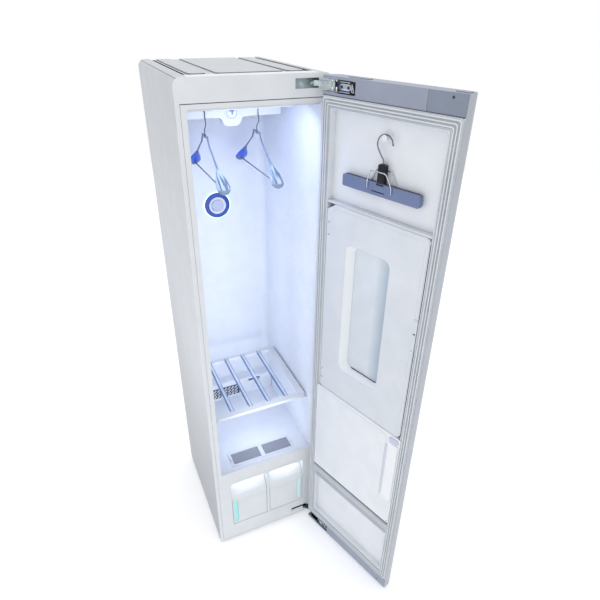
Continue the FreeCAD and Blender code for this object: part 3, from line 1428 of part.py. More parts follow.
def press_lower_panel():
    """Lower panel of the press, a little proud of the door's inner face."""
    left = 28.5
    right = DOOR_WIDTH - 30.0
    low = RECESS_BOTTOM + 6
    high = COVER_BOTTOM - 3
    face = front_view(rectangle(left, right, low, high, 8), -3, 0)
    body = front_view(rectangle(RECESS_LEFT + 3, RECESS_RIGHT - 3, low + 2, high, 8), 0, RECESS_DEEP)
    room = rectangle(RECESS_LEFT + 6, RECESS_RIGHT - 6, low + 5, high - 3, 6)
    hollow = front_view(room, 0, RECESS_DEEP + 1)
    field = front_view(rectangle(60, right - 57, low + 94, high - 14, 10), -4, -3)
    hole = rod(Vector(right - 8, -5, low + 8), Vector(right - 8, 1, low + 8), 3.2)
    guide = front_view(rectangle(right - 46, right - 5, low + 114, high - 33, 4), -5.6, -3)
    return join([face, body.cut(hollow), field, guide]).cut(hole)


def cover_outline(inset):
    """Outline of the press cover with its cut upper corner on the hinge side."""
    left = COVER_LEFT + inset
    right = COVER_RIGHT - inset
    low = COVER_BOTTOM + inset
    high = COVER_TOP - inset
    return [
        (left, low, 6),
        (right, low, 22),
        (right, high, 16),
        (left + 34, high, 10),
        (left, high - 20, 10),
    ]


def press_cover():
    """Moulded cover: sloped collar round its window, skirt, latch pocket and hinge pins."""
    slab = front_view(cover_outline(0), 0, COVER_DEPTH)
    slab = slab.cut(front_view(cover_outline(WALL), WALL, COVER_DEPTH + 1))

    collar_depth = BOARD_M - 0.5

    def collar(grow, near, far):
        """Window block whose walls lean inwards with depth, cut square at both faces."""
        rings = []
        for m in (near, far):
            lean = WINDOW_SLOPE * m / collar_depth
            limits = rectangle(
                WINDOW_LEFT - grow + lean, WINDOW_RIGHT + grow - lean / 2,
                WINDOW_BOTTOM - grow + lean / 2, WINDOW_TOP + grow - lean / 2, 26)
            rings.append(outline_face(limits, lambda a, b, depth=m: Vector(a, depth, b)).OuterWire)
        return Part.makeLoft(rings, True)

    cover = join([slab, collar(WALL, 0, collar_depth)]).cut(collar(0, -1, collar_depth + 1))
    pocket = box(LATCH_LEFT - 4, COVER_RIGHT, 0.5, 15.5, LATCH_BOTTOM - 3, LATCH_TOP + 3)
    notch = box(LATCH_LEFT, COVER_RIGHT + 1, -1, 13, LATCH_BOTTOM, LATCH_TOP)
    cover = join([cover, pocket]).cut(notch)
    knuckle = EAR_OUTER - EAR_THICK - 2 * PLAY
    for z in cover_pin_places():
        for low in (z - EAR_OUTER - PLAY, z + EAR_OUTER - EAR_THICK - PLAY):
            room = box(COVER_LEFT - 1, COVER_AXIS_U + 8, -1, COVER_DEPTH + 1, low, low + EAR_THICK + 2 * PLAY)
            cover = cover.cut(room)
        barrel = box(COVER_LEFT + 1, COVER_AXIS_U + 5, 0.5, 9, z - knuckle, z + knuckle)
        start = Vector(COVER_AXIS_U, COVER_AXIS_M, z - EAR_OUTER)
        pin = rod(start, start + Vector(0, 0, 2 * EAR_OUTER), COVER_PIN_R)
        cover = join([cover, barrel, pin])
    return cover


def cover_pin_places():
    """Heights of the two hinge knuckles of the press cover."""
    return (COVER_BOTTOM + 60, COVER_TOP - 80)


def press_latch():
    """Push latch in the free edge of the press cover."""
    block = front_view(
        rectangle(LATCH_LEFT + 0.4, COVER_RIGHT - 0.4, LATCH_BOTTOM + 0.4, LATCH_TOP - 0.4, 3), -1.5, 8)
    dimple = Part.makeSphere(6, Vector((LATCH_LEFT + COVER_RIGHT) / 2, -5, (LATCH_BOTTOM + LATCH_TOP) / 2))
    return block.cut(dimple)


# ---- trouser hanger ----------------------------------------------------------------------------
TROUSER_HOOK_R = 25.0
TROUSER_WIRE_R = 1.7
TROUSER_SPLIT = 7.0
CLIP_TOP = TROUSER_BAR_HIGH + 50.0


def trouser_hook():
    """Round hook with its stem and the clip body that locks the jaws."""
    centre_z = PEG_Z - (TROUSER_HOOK_R - TROUSER_WIRE_R - PEG_R - PLAY)
    centre = Vector(PEG_U, TROUSER_M, centre_z)

    def on_arc(degrees):
        angle = math.radians(degrees)
        return centre + Vector(TROUSER_HOOK_R * math.cos(angle), 0, TROUSER_HOOK_R * math.sin(angle))

    lean = math.radians(35)
    start = on_arc(215)
    knee = start + Vector(math.sin(lean), 0, -math.cos(lean)) * 22
    foot = Vector(PEG_U, TROUSER_M, CLIP_TOP - 6)
    stem = rounded_edges([
        (foot, 0),
        (Vector(PEG_U, TROUSER_M, CLIP_TOP + 12), 8),
        (knee, 8),
        (start, 0),
    ], False)
    spine = Part.Wire(stem + [Part.Arc(start, on_arc(110), on_arc(5)).toShape()])
    section = Part.Wire(Part.makeCircle(TROUSER_WIRE_R, foot, Vector(0, 0, 1)))
    wire = spine.makePipeShell([section], True, True)
    tip = bead(on_arc(2), Vector(0, 0, 1), TROUSER_WIRE_R + 0.7)
    low = TROUSER_BAR_HIGH
    clip = side_view(
        [(0.5, low), (13.5, low), (13.5, CLIP_TOP - 10, 4), (9.5, CLIP_TOP, 2), (4.5, CLIP_TOP, 2),
         (0.5, CLIP_TOP - 10, 4)],
        PEG_U - 11, PEG_U + 11)
    return join([wire, tip, clip])


def trouser_jaw_back():
    """Back jaw of the clamp."""
    outline = rectangle(TROUSER_BAR_LEFT, TROUSER_BAR_RIGHT, TROUSER_BAR_LOW, TROUSER_BAR_HIGH, 5)
    return front_view(outline, TROUSER_SPLIT + 0.2, TROUSER_SPLIT + 7)


def trouser_jaw_front():
    """Front jaw, with a short slot and room for the clip when it opens."""
    outline = rectangle(TROUSER_BAR_LEFT, TROUSER_BAR_RIGHT, TROUSER_BAR_LOW, TROUSER_BAR_HIGH - PLAY, 5)
    near = TROUSER_SPLIT - 7
    jaw = front_view(outline, near, TROUSER_SPLIT - 0.2)
    slot = box(PEG_U - 26, PEG_U + 18, near - 1, near + 1.6, 1577, 1580)
    room = box(PEG_U - 13, PEG_U + 13, near - 1, TROUSER_SPLIT, TROUSER_BAR_HIGH - 6, TROUSER_BAR_HIGH + 1)
    return jaw.cut(slot).cut(room)


# ---- write every piece -------------------------------------------------------------------------
def write_case():
    """Case, front and base."""
    side = case_side()
    save("side_panel_left", side)
    save("side_panel_right", mirrored(side))
    save("top_cover", top_cover())
    save("back_panel", back_panel())
    save("base_tray", base_tray())
    save("levelling_feet", *[levelling_foot(x, y) for x, y in foot_places()])
    save("front_bezel", front_bezel())
    save("front_frame", front_frame())
    save("lower_front_panel", lower_front_panel())


def write_chamber():
    """Chamber lining and what is fixed to it."""
    wall = chamber_side()
    save("chamber_wall_left", wall)
    save("chamber_wall_right", mirrored(wall))
    save("chamber_wall_back", chamber_back())
    save("chamber_floor", chamber_floor())
    save("chamber_ceiling", chamber_ceiling())
    save("rear_duct_cover", rear_duct_cover())
    save("rear_grille", rear_grille())
    save("aroma_ring", aroma_ring())
    save("aroma_cup", aroma_cup())
    save("shelf_frame", shelf_frame())
    save("shelf_bars", *shelf_bars())
    save("lint_filter", lint_filter())


def write_rack():
    """Moving rack, its drive and the two hangers."""
    save("hanger_bar", hanger_bar())
    save("drive_belt", drive_belt())
    save("drive_pulley", belt_pulley(PULLEY_X))
    save("idler_pulley", belt_pulley(-PULLEY_X))
    save("rack_motor", rack_motor())
    for name, x in (("left", -HANGER_X), ("right", HANGER_X)):
        save("hanger_hook_" + name, hanger_hook(x))
        save("hanger_body_" + name, hanger_body(x))


def write_tanks():
    """Tank bay and both tanks; the supply tank is on the left."""
    save("tank_bay", tank_bay())
    for node, shape in (("body", tank_body()), ("front", tank_front())):
        save("drain_tank_" + node, shape)
        save("supply_tank_" + node, mirrored(shape))


def write_machine():
    """Heat pump, blower, boiler and electronics."""
    save("air_duct", air_duct())
    evaporator = heat_exchanger(MACHINE_NEAR + 46)
    condenser = heat_exchanger(MACHINE_NEAR + 104)
    save("heat_exchangers", evaporator, condenser)
    save("blower_housing", blower_housing())
    save("blower_impeller", blower_impeller())
    save("blower_motor", blower_motor())
    save("compressor", compressor())
    save("steam_generator", steam_generator())
    save("water_pumps", *water_pumps())
    save("control_box", control_box())


def write_hinges():
    """Cabinet halves, door halves and pins of both hinges."""
    heights = (TOP_HINGE_Z, BOTTOM_HINGE_Z)
    save("hinge_plates", *[hinge_plate(z) for z in heights])
    save("hinge_leaves", *[hang(hinge_leaf(z)) for z in heights])
    save("hinge_pins", *[hang(hinge_pin(z)) for z in heights])


def write_door():
    """Door shell, press and trouser hanger."""
    save("door_skin", hang(door_skin()))
    save("door_top_cap", hang(door_top_cap()))
    save("door_bottom_cap", hang(door_bottom_cap()))
    save("door_liner", hang(door_liner()))
    save("door_gasket", hang(door_gasket()))
    save("control_window", hang(control_window()))
    save("press_board", hang(press_board()))
    save("press_lower_panel", hang(press_lower_panel()))
    save("press_cover", hang(press_cover()))
    save("press_latch", hang(press_latch()))
    save("trouser_hook", hang(trouser_hook()))
    save("trouser_jaw_back", hang(trouser_jaw_back()))
    save("trouser_jaw_front", hang(trouser_jaw_front()))


write_case()
write_chamber()
write_rack()
write_tanks()
write_machine()
write_hinges()
write_door()
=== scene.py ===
"""Finishes, trim, stage and light for the clothes care steam cabinet.

Lengths are in millimetres until a mesh is written, when they become metres. +X is to the right seen
from the front, +Y runs to the back, +Z is up, and the origin is the middle of the footprint, on the
floor. Door pieces are drawn flat, with u from the hinge edge to the free edge, z up and h proud of the
inner face, and are carried to the open door by its Place.
"""

import json
import logging
import math
from collections.abc import Iterator
from dataclasses import dataclass
from enum import Enum
from functools import cached_property

import bmesh
import bpy
import numpy as np
from mathutils import Matrix, Vector


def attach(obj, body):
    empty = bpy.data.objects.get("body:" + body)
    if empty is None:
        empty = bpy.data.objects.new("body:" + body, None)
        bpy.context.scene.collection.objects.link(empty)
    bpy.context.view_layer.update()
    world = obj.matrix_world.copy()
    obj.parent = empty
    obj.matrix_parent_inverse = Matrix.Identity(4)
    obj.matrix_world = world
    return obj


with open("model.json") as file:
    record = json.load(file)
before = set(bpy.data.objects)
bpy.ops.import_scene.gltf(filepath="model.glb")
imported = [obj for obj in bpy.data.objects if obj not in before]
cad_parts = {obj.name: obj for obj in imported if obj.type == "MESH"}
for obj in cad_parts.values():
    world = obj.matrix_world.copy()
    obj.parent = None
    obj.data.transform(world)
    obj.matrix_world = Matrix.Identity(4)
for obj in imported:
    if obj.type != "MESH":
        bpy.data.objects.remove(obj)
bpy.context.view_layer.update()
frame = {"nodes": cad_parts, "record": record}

LOG = logging.getLogger("cabinet")
MM = 0.001
Array = np.ndarray
Socket = bpy.types.NodeSocket
Material = bpy.types.Material
Node = bpy.types.Node
Input = Socket | float | str | tuple

HALF_WIDTH = 222.5
FRONT = -264.0
BACK = 264.0
HEIGHT = 1850.0
CHAMBER_BACK = FRONT + 497.0
CHAMBER_TOP = 1766.0
RACK_Y = FRONT + 257.0
GUTTER_OUTER = HALF_WIDTH - 37.5
GUTTER_WIDTH = 12.0
HINGE_HEIGHTS = (1824.0, 36.0)
PEG_U = 226.0


class Body(Enum):
    """Moving bodies that the new pieces ride on."""

    CABINET = "cabinet"
    DOOR = "door"
    RACK = "rack"
    FILTER = "filter"
    AROMA = "aroma_kit"
    SUPPLY_TANK = "supply_tank"
    DRAIN_TANK = "drain_tank"
    PRESS_LID = "press_lid"
    LID_LATCH = "lid_latch"
    TROUSER_HANGER = "trouser_hanger"
    FRONT_JAW = "front_jaw"


# ---- places ------------------------------------------------------------------------------------
@dataclass(frozen=True)
class Place:
    """Where a flat drawing stands: its origin and the directions of its a, b and h axes."""

    origin: tuple[float, float, float]
    a: tuple[float, float, float]
    b: tuple[float, float, float]
    h: tuple[float, float, float]

    def at(self, drawn: Array) -> Array:
        """Carry points from the drawing to the cabinet: origin + a*A + b*B + h*H.

        Args:
            drawn: Points (..., 3) along a, b and h.

        Returns:
            The same points in the cabinet's frame.
        """
        axes = np.array([self.a, self.b, self.h])
        return np.array(self.origin) + drawn @ axes

    def mark(self, axis: tuple[float, float, float], distance: float) -> float:
        """Distance of a plane from the frame's origin along one of the place's axes."""
        return float(np.dot(self.origin, axis)) + distance

    def seen_from_above(self, level: float) -> "Place":
        """The same corner with a kept, b along h, and h upwards from a level."""
        corner = (self.origin[0], self.origin[1], self.origin[2] + level)
        return Place(corner, self.a, self.h, (0, 0, 1))


FRONT_VIEW = Place((0, FRONT, 0), (1, 0, 0), (0, 0, 1), (0, -1, 0))
BACK_VIEW = Place((0, BACK, 0), (1, 0, 0), (0, 0, 1), (0, 1, 0))
FORWARDS = Place((0, 0, 0), (1, 0, 0), (0, 0, 1), (0, -1, 0))
DOWNWARDS = Place((0, 0, 0), (1, 0, 0), (0, 1, 0), (0, 0, -1))
CHAMBER_BACK_VIEW = Place((0, CHAMBER_BACK, 0), (1, 0, 0), (0, 0, 1), (0, -1, 0))


def door_place() -> Place:
    """Place of the open door: turned by its opening angle about the hinge axis."""
    hinge_u = 12.8
    hinge_m = 31.5
    gap = 6.0
    angle = math.radians(107.7)
    hinge = np.array([HALF_WIDTH - hinge_u, FRONT - gap - hinge_m, 0.0])
    turn = np.array([[math.cos(angle), -math.sin(angle), 0],
                     [math.sin(angle), math.cos(angle), 0],
                     [0, 0, 1]])
    origin = hinge + turn @ np.array([hinge_u, hinge_m, 0.0])
    along = turn @ np.array([-1.0, 0.0, 0.0])
    inward = turn @ np.array([0.0, 1.0, 0.0])
    return Place(tuple(origin), tuple(along), (0, 0, 1), tuple(inward))


DOOR = door_place()


# ---- surfaces ----------------------------------------------------------------------------------
class Shell:
    """Grids of points gathered into one mesh."""

    def __init__(self) -> None:
        """Start with no points."""
        self.points: list[Array] = []
        self.faces: list[list[int]] = []
        self.count = 0

    def grid(self, points: Array, wrap_rows: bool = False, wrap_columns: bool = True,
             caps: bool = True) -> "Shell":
        """Add quads between the neighbours of a grid.

        Args:
            points: Points (rows, columns, 3) in millimetres.
            wrap_rows: Whether the last row joins the first.
            wrap_columns: Whether the last column joins the first.
            caps: Whether the first and last rows are closed by a face.

        Returns:
            The shell itself, so that calls can follow each other.
        """
        rows, columns = points.shape[:2]
        index = np.arange(rows * columns).reshape(rows, columns) + self.count
        above = np.roll(index, -1, 0)
        quads = np.stack([index, np.roll(index, -1, 1), np.roll(above, -1, 1), above], -1)
        if not wrap_rows:
            quads = quads[:-1]
        if not wrap_columns:
            quads = quads[:, :-1]
        self.faces += quads.reshape(-1, 4).tolist()
        if caps and not wrap_rows:
            self.faces += [index[0][::-1].tolist(), index[-1].tolist()]
        self.points.append(points.reshape(-1, 3))
        self.count += rows * columns
        return self

    def mesh(self, name: str, smooth_degrees: float = 35.0) -> bpy.types.Mesh:
        """Mesh of the shell, smooth but for its sharp edges.

        Args:
            name: Name of the mesh.
            smooth_degrees: Edges sharper than this stay crisp.

        Returns:
            The new mesh, in metres, with its normals outwards.
        """
        mesh = bpy.data.meshes.new(name)
        mesh.from_pydata((np.concatenate(self.points) * MM).tolist(), [], self.faces)
        work = bmesh.new()
        work.from_mesh(mesh)
        bmesh.ops.remove_doubles(work, verts=work.verts, dist=1e-6)
        bmesh.ops.recalc_face_normals(work, faces=work.faces)
        work.to_mesh(mesh)
        work.free()
        mesh.shade_smooth()
        mesh.set_sharp_from_angle(angle=math.radians(smooth_degrees))
        return mesh


def turns(steps: int) -> Array:
    """Angles of equal steps round a full circle."""
    return np.linspace(0, 2 * np.pi, steps, endpoint=False)


def round_rectangle(half_a: float, half_b: float, radius: float, steps: int = 6,
                    least: float = 0.02) -> Array:
    """Outline of a rectangle with round corners: corner centre + radius * (cos t, sin t).

    Args:
        half_a: Half of its width.
        half_b: Half of its height.
        radius: Corner radius.
        steps: Spans in each corner.
        least: Radius of a corner that is nearly sharp.

    Returns:
        Points (4 * (steps + 1), 2) round the middle.
    """
    radius = max(radius, least)
    corner = np.arange(4)[:, None]
    turn = np.radians(90.0 * corner + np.linspace(0, 90, steps + 1))
    side_a = np.array([1, -1, -1, 1])[:, None]
    side_b = np.array([1, 1, -1, -1])[:, None]
    across = side_a * (half_a - radius) + radius * np.cos(turn)
    upward = side_b * (half_b - radius) + radius * np.sin(turn)
    return np.stack([across, upward], -1).reshape(-1, 2)


def plate(centre: tuple[float, float], half_a: float, half_b: float, corner: float,
          low: float, high: float, edge: float) -> Array:
    """Plate with round corners and a rounded upper edge.

    Its edge goes in by edge * (1 - cos t) at the height high - edge * (1 - sin t), t from 0 to 90 degrees.

    Args:
        centre: Middle of the plate in its drawing.
        half_a: Half of its width.
        half_b: Half of its height.
        corner: Corner radius.
        low: Height of its underside.
        high: Height of its face.
        edge: Radius of the edge round its face.

    Returns:
        Points (rows, columns, 3) as a, b, h, for a grid closed by caps.
    """
    turn = np.linspace(0, np.pi / 2, 5)
    rows = np.stack([edge * (1 - np.cos(turn)), high - edge * (1 - np.sin(turn))], -1)
    return moulding(centre, half_a, half_b, corner, np.vstack([[[0.0, low]], rows]))


def slab(left: float, right: float, bottom: float, top: float, corner: float,
         low: float, high: float, edge: float) -> Array:
    """Plate given by its four sides in the drawing."""
    centre = ((left + right) / 2, (bottom + top) / 2)
    return plate(centre, (right - left) / 2, (top - bottom) / 2, corner, low, high, edge)


def moulding(centre: tuple[float, float], half_a: float, half_b: float, corner: float,
             section: Array) -> Array:
    """Section of (inset, height) rows carried round a rectangle with round corners.

    Args:
        centre: Middle of the rectangle.
        half_a: Half of its outside width.
        half_b: Half of its outside height.
        corner: Outside corner radius.
        section: Its (inset, height) rows.

    Returns:
        Points (rows, columns, 3) as a, b, h, for a grid closed by caps or wrapped both ways.
    """
    rings = []
    for inset, height in section:
        outline = round_rectangle(half_a - inset, half_b - inset, corner - inset)
        rings.append(np.column_stack([outline + np.array(centre), np.full(len(outline), height)]))
    return np.array(rings)


def lathe(profile: Array, centre: tuple[float, float], steps: int = 48) -> Array:
    """Profile of (radius, height) rows turned about h: (r cos t, r sin t, height).

    Args:
        profile: Rows of radius and height.
        centre: Place of the axis in the drawing.
        steps: Spans round the axis.

    Returns:
        Points (rows, steps, 3) as a, b, h.
    """
    turn = turns(steps)
    radius = profile[:, :1]
    across = centre[0] + radius * np.cos(turn)
    upward = centre[1] + radius * np.sin(turn)
    height = np.repeat(profile[:, 1:], steps, 1)
    return np.stack([across, upward, height], -1)


def bent(corners: Array, reach: float, steps: int = 6) -> Array:
    """Path through corners, each rounded by a curve from `reach` before it to `reach` after it.

    Each corner P between A and B becomes (1-t)^2 A + 2 t (1-t) P + t^2 B.

    Args:
        corners: Points (count, 3).
        reach: Length taken off each run at a corner.
        steps: Spans in each curve.

    Returns:
        Points along the path.
    """
    before = corners[:-2] - corners[1:-1]
    after = corners[2:] - corners[1:-1]
    start = corners[1:-1] + before / np.linalg.norm(before, axis=1, keepdims=True) * reach
    end = corners[1:-1] + after / np.linalg.norm(after, axis=1, keepdims=True) * reach
    t = np.linspace(0, 1, steps + 1)[None, :, None]
    curve = (1 - t) ** 2 * start[:, None] + 2 * t * (1 - t) * corners[1:-1, None] + t ** 2 * end[:, None]
    return np.vstack([corners[:1], curve.reshape(-1, 3), corners[-1:]])


def tube(path: Array, radius: float, across: tuple[float, float, float], sides: int = 12) -> Array:
    """Round bar along a path: P + r (cos t S + sin t N), with S square to the path and N = T x S.

    Args:
        path: Points (count, 3).
        radius: Its radius.
        across: Direction that is nowhere along the path.
        sides: Faces round the bar.

    Returns:
        Points (count, sides, 3), for a grid closed by caps.
    """
    heading = np.gradient(path, axis=0)
    heading /= np.linalg.norm(heading, axis=1, keepdims=True)
    side = np.cross(heading, np.array(across, float))
    side /= np.linalg.norm(side, axis=1, keepdims=True)
    normal = np.cross(heading, side)
    turn = turns(sides)[None, :, None]
    return path[:, None] + radius * (np.cos(turn) * side[:, None] + np.sin(turn) * normal[:, None])


# ---- finishes ----------------------------------------------------------------------------------
# Most values of a noise lie between these two.
NOISE_RANGE = (0.3, 0.7)


def linear(colour: str) -> tuple[float, float, float, float]:
    """Linear colour of an sRGB hex value: c / 12.92 below 0.04045, else ((c + 0.055) / 1.055)^2.4."""
    code = np.array([int(colour[place:place + 2], 16) for place in (1, 3, 5)]) / 255.0
    light = np.where(code <= 0.04045, code / 12.92, ((code + 0.055) / 1.055) ** 2.4)
    return (*light.tolist(), 1.0)


class Graph:
    """Node tree of one new material, with a short call for each kind of step."""

    def __init__(self, name: str) -> None:
        """Start a material with an empty tree."""
        self.material = bpy.data.materials.new(name)
        self.material.use_nodes = True
        self.tree = self.material.node_tree
        self.tree.nodes.clear()

    @cached_property
    def place(self) -> Socket:
        """Object coordinates, from one node that the whole tree shares."""
        return self.add("ShaderNodeTexCoord").outputs["Object"]

    def add(self, kind: str, inputs: dict[str | int, Input] | None = None, **settings: object) -> Node:
        """Add a node, set its settings, and give each input a value, a colour or a link.

        Args:
            kind: Blender's name for the node.
            inputs: Value, sRGB hex colour or output socket for each input, by name or by number.
            settings: Attributes of the node.

        Returns:
            The new node.
        """
        node = self.tree.nodes.new(kind)
        for name, value in settings.items():
            setattr(node, name, value)
        for key, value in (inputs or {}).items():
            if isinstance(value, Socket):
                self.tree.links.new(value, node.inputs[key])
            else:
                node.inputs[key].default_value = linear(value) if isinstance(value, str) else value
        return node

    def math(self, operation: str, *values: Input) -> Socket:
        """Result of one operation on numbers."""
        return self.add("ShaderNodeMath", dict(enumerate(values)), operation=operation).outputs[0]

    def dot(self, first: Input, second: Input) -> Socket:
        """Dot product of two vectors."""
        node = self.add("ShaderNodeVectorMath", {0: first, 1: second}, operation="DOT_PRODUCT")
        return node.outputs["Value"]

    def ramp(self, value: Socket, low: float, high: float, start: float = 0.0, end: float = 1.0) -> Socket:
        """Number that runs from start to end while a value runs from low to high."""
        return self.add("ShaderNodeMapRange", {
            "Value": value, "From Min": low, "From Max": high, "To Min": start, "To Max": end,
        }).outputs["Result"]

    def mix(self, share: Socket, first: Input, second: Input) -> Socket:
        """Colour that passes from the first to the second by a share."""
        node = self.add("ShaderNodeMixRGB", {"Fac": share, "Color1": first, "Color2": second})
        return node.outputs["Color"]

    def stretched(self, scale: tuple[float, float, float]) -> Socket:
        """Object coordinates times a scale along each axis."""
        return self.add("ShaderNodeMapping", {"Vector": self.place, "Scale": scale}).outputs["Vector"]

    def noise(self, place: Socket, size_mm: float, detail: float, roughness: float = 0.5) -> Socket:
        """Noise whose patches are about the given size."""
        return self.add("ShaderNodeTexNoise", {
            "Vector": place, "Scale": 1000.0 / size_mm, "Detail": detail, "Roughness": roughness,
        }).outputs["Fac"]

    def axes(self) -> bpy.types.NodeOutputs:
        """Object coordinates as the sockets X, Y and Z."""
        return self.add("ShaderNodeSeparateXYZ", {"Vector": self.place}).outputs

    def tint(self, shader: Node, share: Socket, colour: str) -> None:
        """Blend the shader's present colour towards another by a share."""
        base = shader.inputs["Base Color"].links[0].from_socket
        self.tree.links.new(self.mix(share, base, colour), shader.inputs["Base Color"])


@dataclass(frozen=True)
class Finish:
    """A solid material with a fine grain, slow colour drift and softened, slightly worn edges."""

    name: str
    colour: str
    drift: str
    roughness: float
    grain_mm: float
    grain_depth_mm: float
    patch_mm: float = 70.0
    stretch: tuple[float, float, float] = (1.0, 1.0, 1.0)
    metallic: float = 0.0
    edge_mm: float = 0.6
    edge_colour: str = "#FFFFFF"
    edge_share: float = 0.10
    coat: float = 0.0
    sheen: float = 0.0
    through: float = 0.0
    glow: str = "#000000"
    glow_strength: float = 0.0
    uneven: float = 0.06

    def build(self) -> Material:
        """Make the material, which reads Object coordinates only.

        Returns:
            The node material.
        """
        graph = Graph(self.name)
        grain = graph.noise(graph.stretched(self.stretch), self.grain_mm, 3.0, 0.55)
        patch = graph.noise(graph.place, self.patch_mm, 2.0)
        base = graph.mix(graph.ramp(patch, *NOISE_RANGE), self.colour, self.drift)
        rounded = graph.add("ShaderNodeBevel", {"Radius": self.edge_mm * MM}, samples=3).outputs["Normal"]
        relief = graph.add("ShaderNodeBump", {
            "Height": grain, "Distance": self.grain_depth_mm * MM, "Strength": 1.0, "Normal": rounded})
        smooth = max(self.roughness - self.uneven, 0.02)
        rough = min(self.roughness + self.uneven, 1.0)
        shader = graph.add("ShaderNodeBsdfPrincipled", {
            "Base Color": graph.mix(self.wear(graph, rounded), base, self.edge_colour),
            "Roughness": graph.ramp(grain, *NOISE_RANGE, smooth, rough),
            "Metallic": self.metallic, "Normal": relief.outputs["Normal"],
            "Coat Weight": self.coat, "Sheen Weight": self.sheen, "Transmission Weight": self.through,
            "Emission Color": self.glow, "Emission Strength": self.glow_strength})
        self.adapt(graph, shader)
        graph.add("ShaderNodeOutputMaterial", {"Surface": shader.outputs["BSDF"]})
        return graph.material

    def wear(self, graph: Graph, rounded: Socket) -> Socket:
        """Share of edge wear, which grows as N.R falls from 0.98 to 0.75.

        Args:
            graph: Tree of the material.
            rounded: Normal R of the surface with its edges rounded; N is the true one.

        Returns:
            Socket from 0 on flat stretches to the edge share on edges.
        """
        true = graph.add("ShaderNodeNewGeometry").outputs["Normal"]
        return graph.ramp(graph.dot(true, rounded), 0.98, 0.75, 0.0, self.edge_share)

    def adapt(self, graph: Graph, shader: Node) -> None:
        """Leave the shader as it is; a finish with a pattern of its own changes it here."""


@dataclass(frozen=True)
class GradedFinish(Finish):
    """Finish whose colour passes to a second one along an axis; here that second colour is painted light and
    shade.
    """

    far_colour: str = "#FFFFFF"
    axis: tuple[float, float, float] = (0.0, 0.0, 1.0)
    start_mm: float = 0.0
    end_mm: float = 100.0

    def adapt(self, graph: Graph, shader: Node) -> None:
        """Mix in the far colour by (p . axis - start) / (end - start), kept from 0 to 1."""
        along = graph.dot(graph.place, self.axis)
        graph.tint(shader, graph.ramp(along, self.start_mm * MM, self.end_mm * MM), self.far_colour)


@dataclass(frozen=True)
class ClearBar(Finish):
    """Clear extruded bars that stand in a row, with a painted highlight along the middle of each and painted
    shade at both edges.
    """

    edge: str = "#5B7BB0"
    pitch_mm: float = 75.0
    half_highlight_mm: float = 4.7
    blend_mm: float = 0.8

    def adapt(self, graph: Graph, shader: Node) -> None:
        """Mix in the edge colour, painted shade, by the distance from each bar's middle line."""
        half = self.pitch_mm / 2
        wave = graph.math("PINGPONG", graph.axes()["X"], half * MM)
        turn = half - self.half_highlight_mm
        share = graph.ramp(wave, (turn + self.blend_mm) * MM, (turn - self.blend_mm) * MM)
        graph.tint(shader, share, self.edge)


@dataclass(frozen=True)
class WovenMesh(Finish):
    """Fine woven nylon: two crossed waves give threads and the holes between them."""

    pitch_mm: float = 2.0
    hole: str = "#4C525C"
    depth_mm: float = 0.4

    def adapt(self, graph: Graph, shader: Node) -> None:
        """Raise threads whose height is the larger of |sin(pi x / p)| and |sin(pi y / p)|."""
        axes = graph.axes()
        turns_per_metre = math.pi * 1000.0 / self.pitch_mm
        phases = [graph.math("MULTIPLY", axes[axis], turns_per_metre) for axis in ("X", "Y")]
        waves = [graph.math("ABSOLUTE", graph.math("SINE", phase)) for phase in phases]
        thread = graph.math("MAXIMUM", *waves)
        relief = graph.add("ShaderNodeBump", {
            "Height": thread, "Distance": self.depth_mm * MM, "Strength": 1.0})
        colour = graph.mix(graph.ramp(thread, 0.7, 0.95), self.hole, self.colour)
        graph.tree.links.new(relief.outputs["Normal"], shader.inputs["Normal"])
        graph.tree.links.new(colour, shader.inputs["Base Color"])


@dataclass(frozen=True)
class HangerResin(Finish):
    """Clear blue resin, deep blue at the back of the cabinet, with a silvery painted reflection and streaks
    at its front.
    """

    front_arm: str = "#7C8EA4"
    front_shoulder_reflection: str = "#DCE8EE"
    reflection_streak: str = "#6E8799"
    reflection_streak_mm: float = 7.0
    back_shoulder: str = "#2C5FE0"
    shoulder_reach_mm: float = 126.0
    reach_blend_mm: float = 8.0
    bar_top_mm: float = 1529.0
    bar_blend_mm: float = 2.0
    front_mm: float = -40.0
    back_mm: float = 60.0
    shoulder_through: float = 0.45

    def adapt(self, graph: Graph, shader: Node) -> None:
        """Colour the arms and shoulders, which begin past the reach and above the trouser bar; the pale front
        shoulders and their streaks are a painted reflection.
        """
        axes = graph.axes()
        behind = graph.math("SUBTRACT", axes["Y"], RACK_Y * MM)
        start, soft = self.shoulder_reach_mm, self.reach_blend_mm
        wide = graph.ramp(graph.math("ABSOLUTE", behind), (start - soft) * MM, (start + soft) * MM)
        bar, soft = self.bar_top_mm, self.bar_blend_mm
        above = graph.ramp(axes["Z"], (bar - soft) * MM, (bar + soft) * MM)
        shoulder = graph.math("MULTIPLY", wide, above)
        back = graph.ramp(behind, self.front_mm * MM, self.back_mm * MM)
        # Painted reflection: pale and grey-teal streaks along the front shoulders.
        reflection_streaks = graph.noise(graph.stretched((1.0, 0.14, 0.10)), self.reflection_streak_mm, 1.0)
        reflected_shoulder = graph.mix(graph.ramp(reflection_streaks, 0.46, 0.60), self.front_shoulder_reflection, self.reflection_streak)
        front_colour = graph.mix(shoulder, self.front_arm, reflected_shoulder)
        back_colour = graph.mix(shoulder, self.colour, self.back_shoulder)
        near_shoulder = graph.math("SUBTRACT", shoulder, back)
        clear = graph.ramp(near_shoulder, 0.0, 1.0, self.through, self.shoulder_through)
        graph.tree.links.new(graph.mix(back, front_colour, back_colour), shader.inputs["Base Color"])
        graph.tree.links.new(clear, shader.inputs["Transmission Weight"])


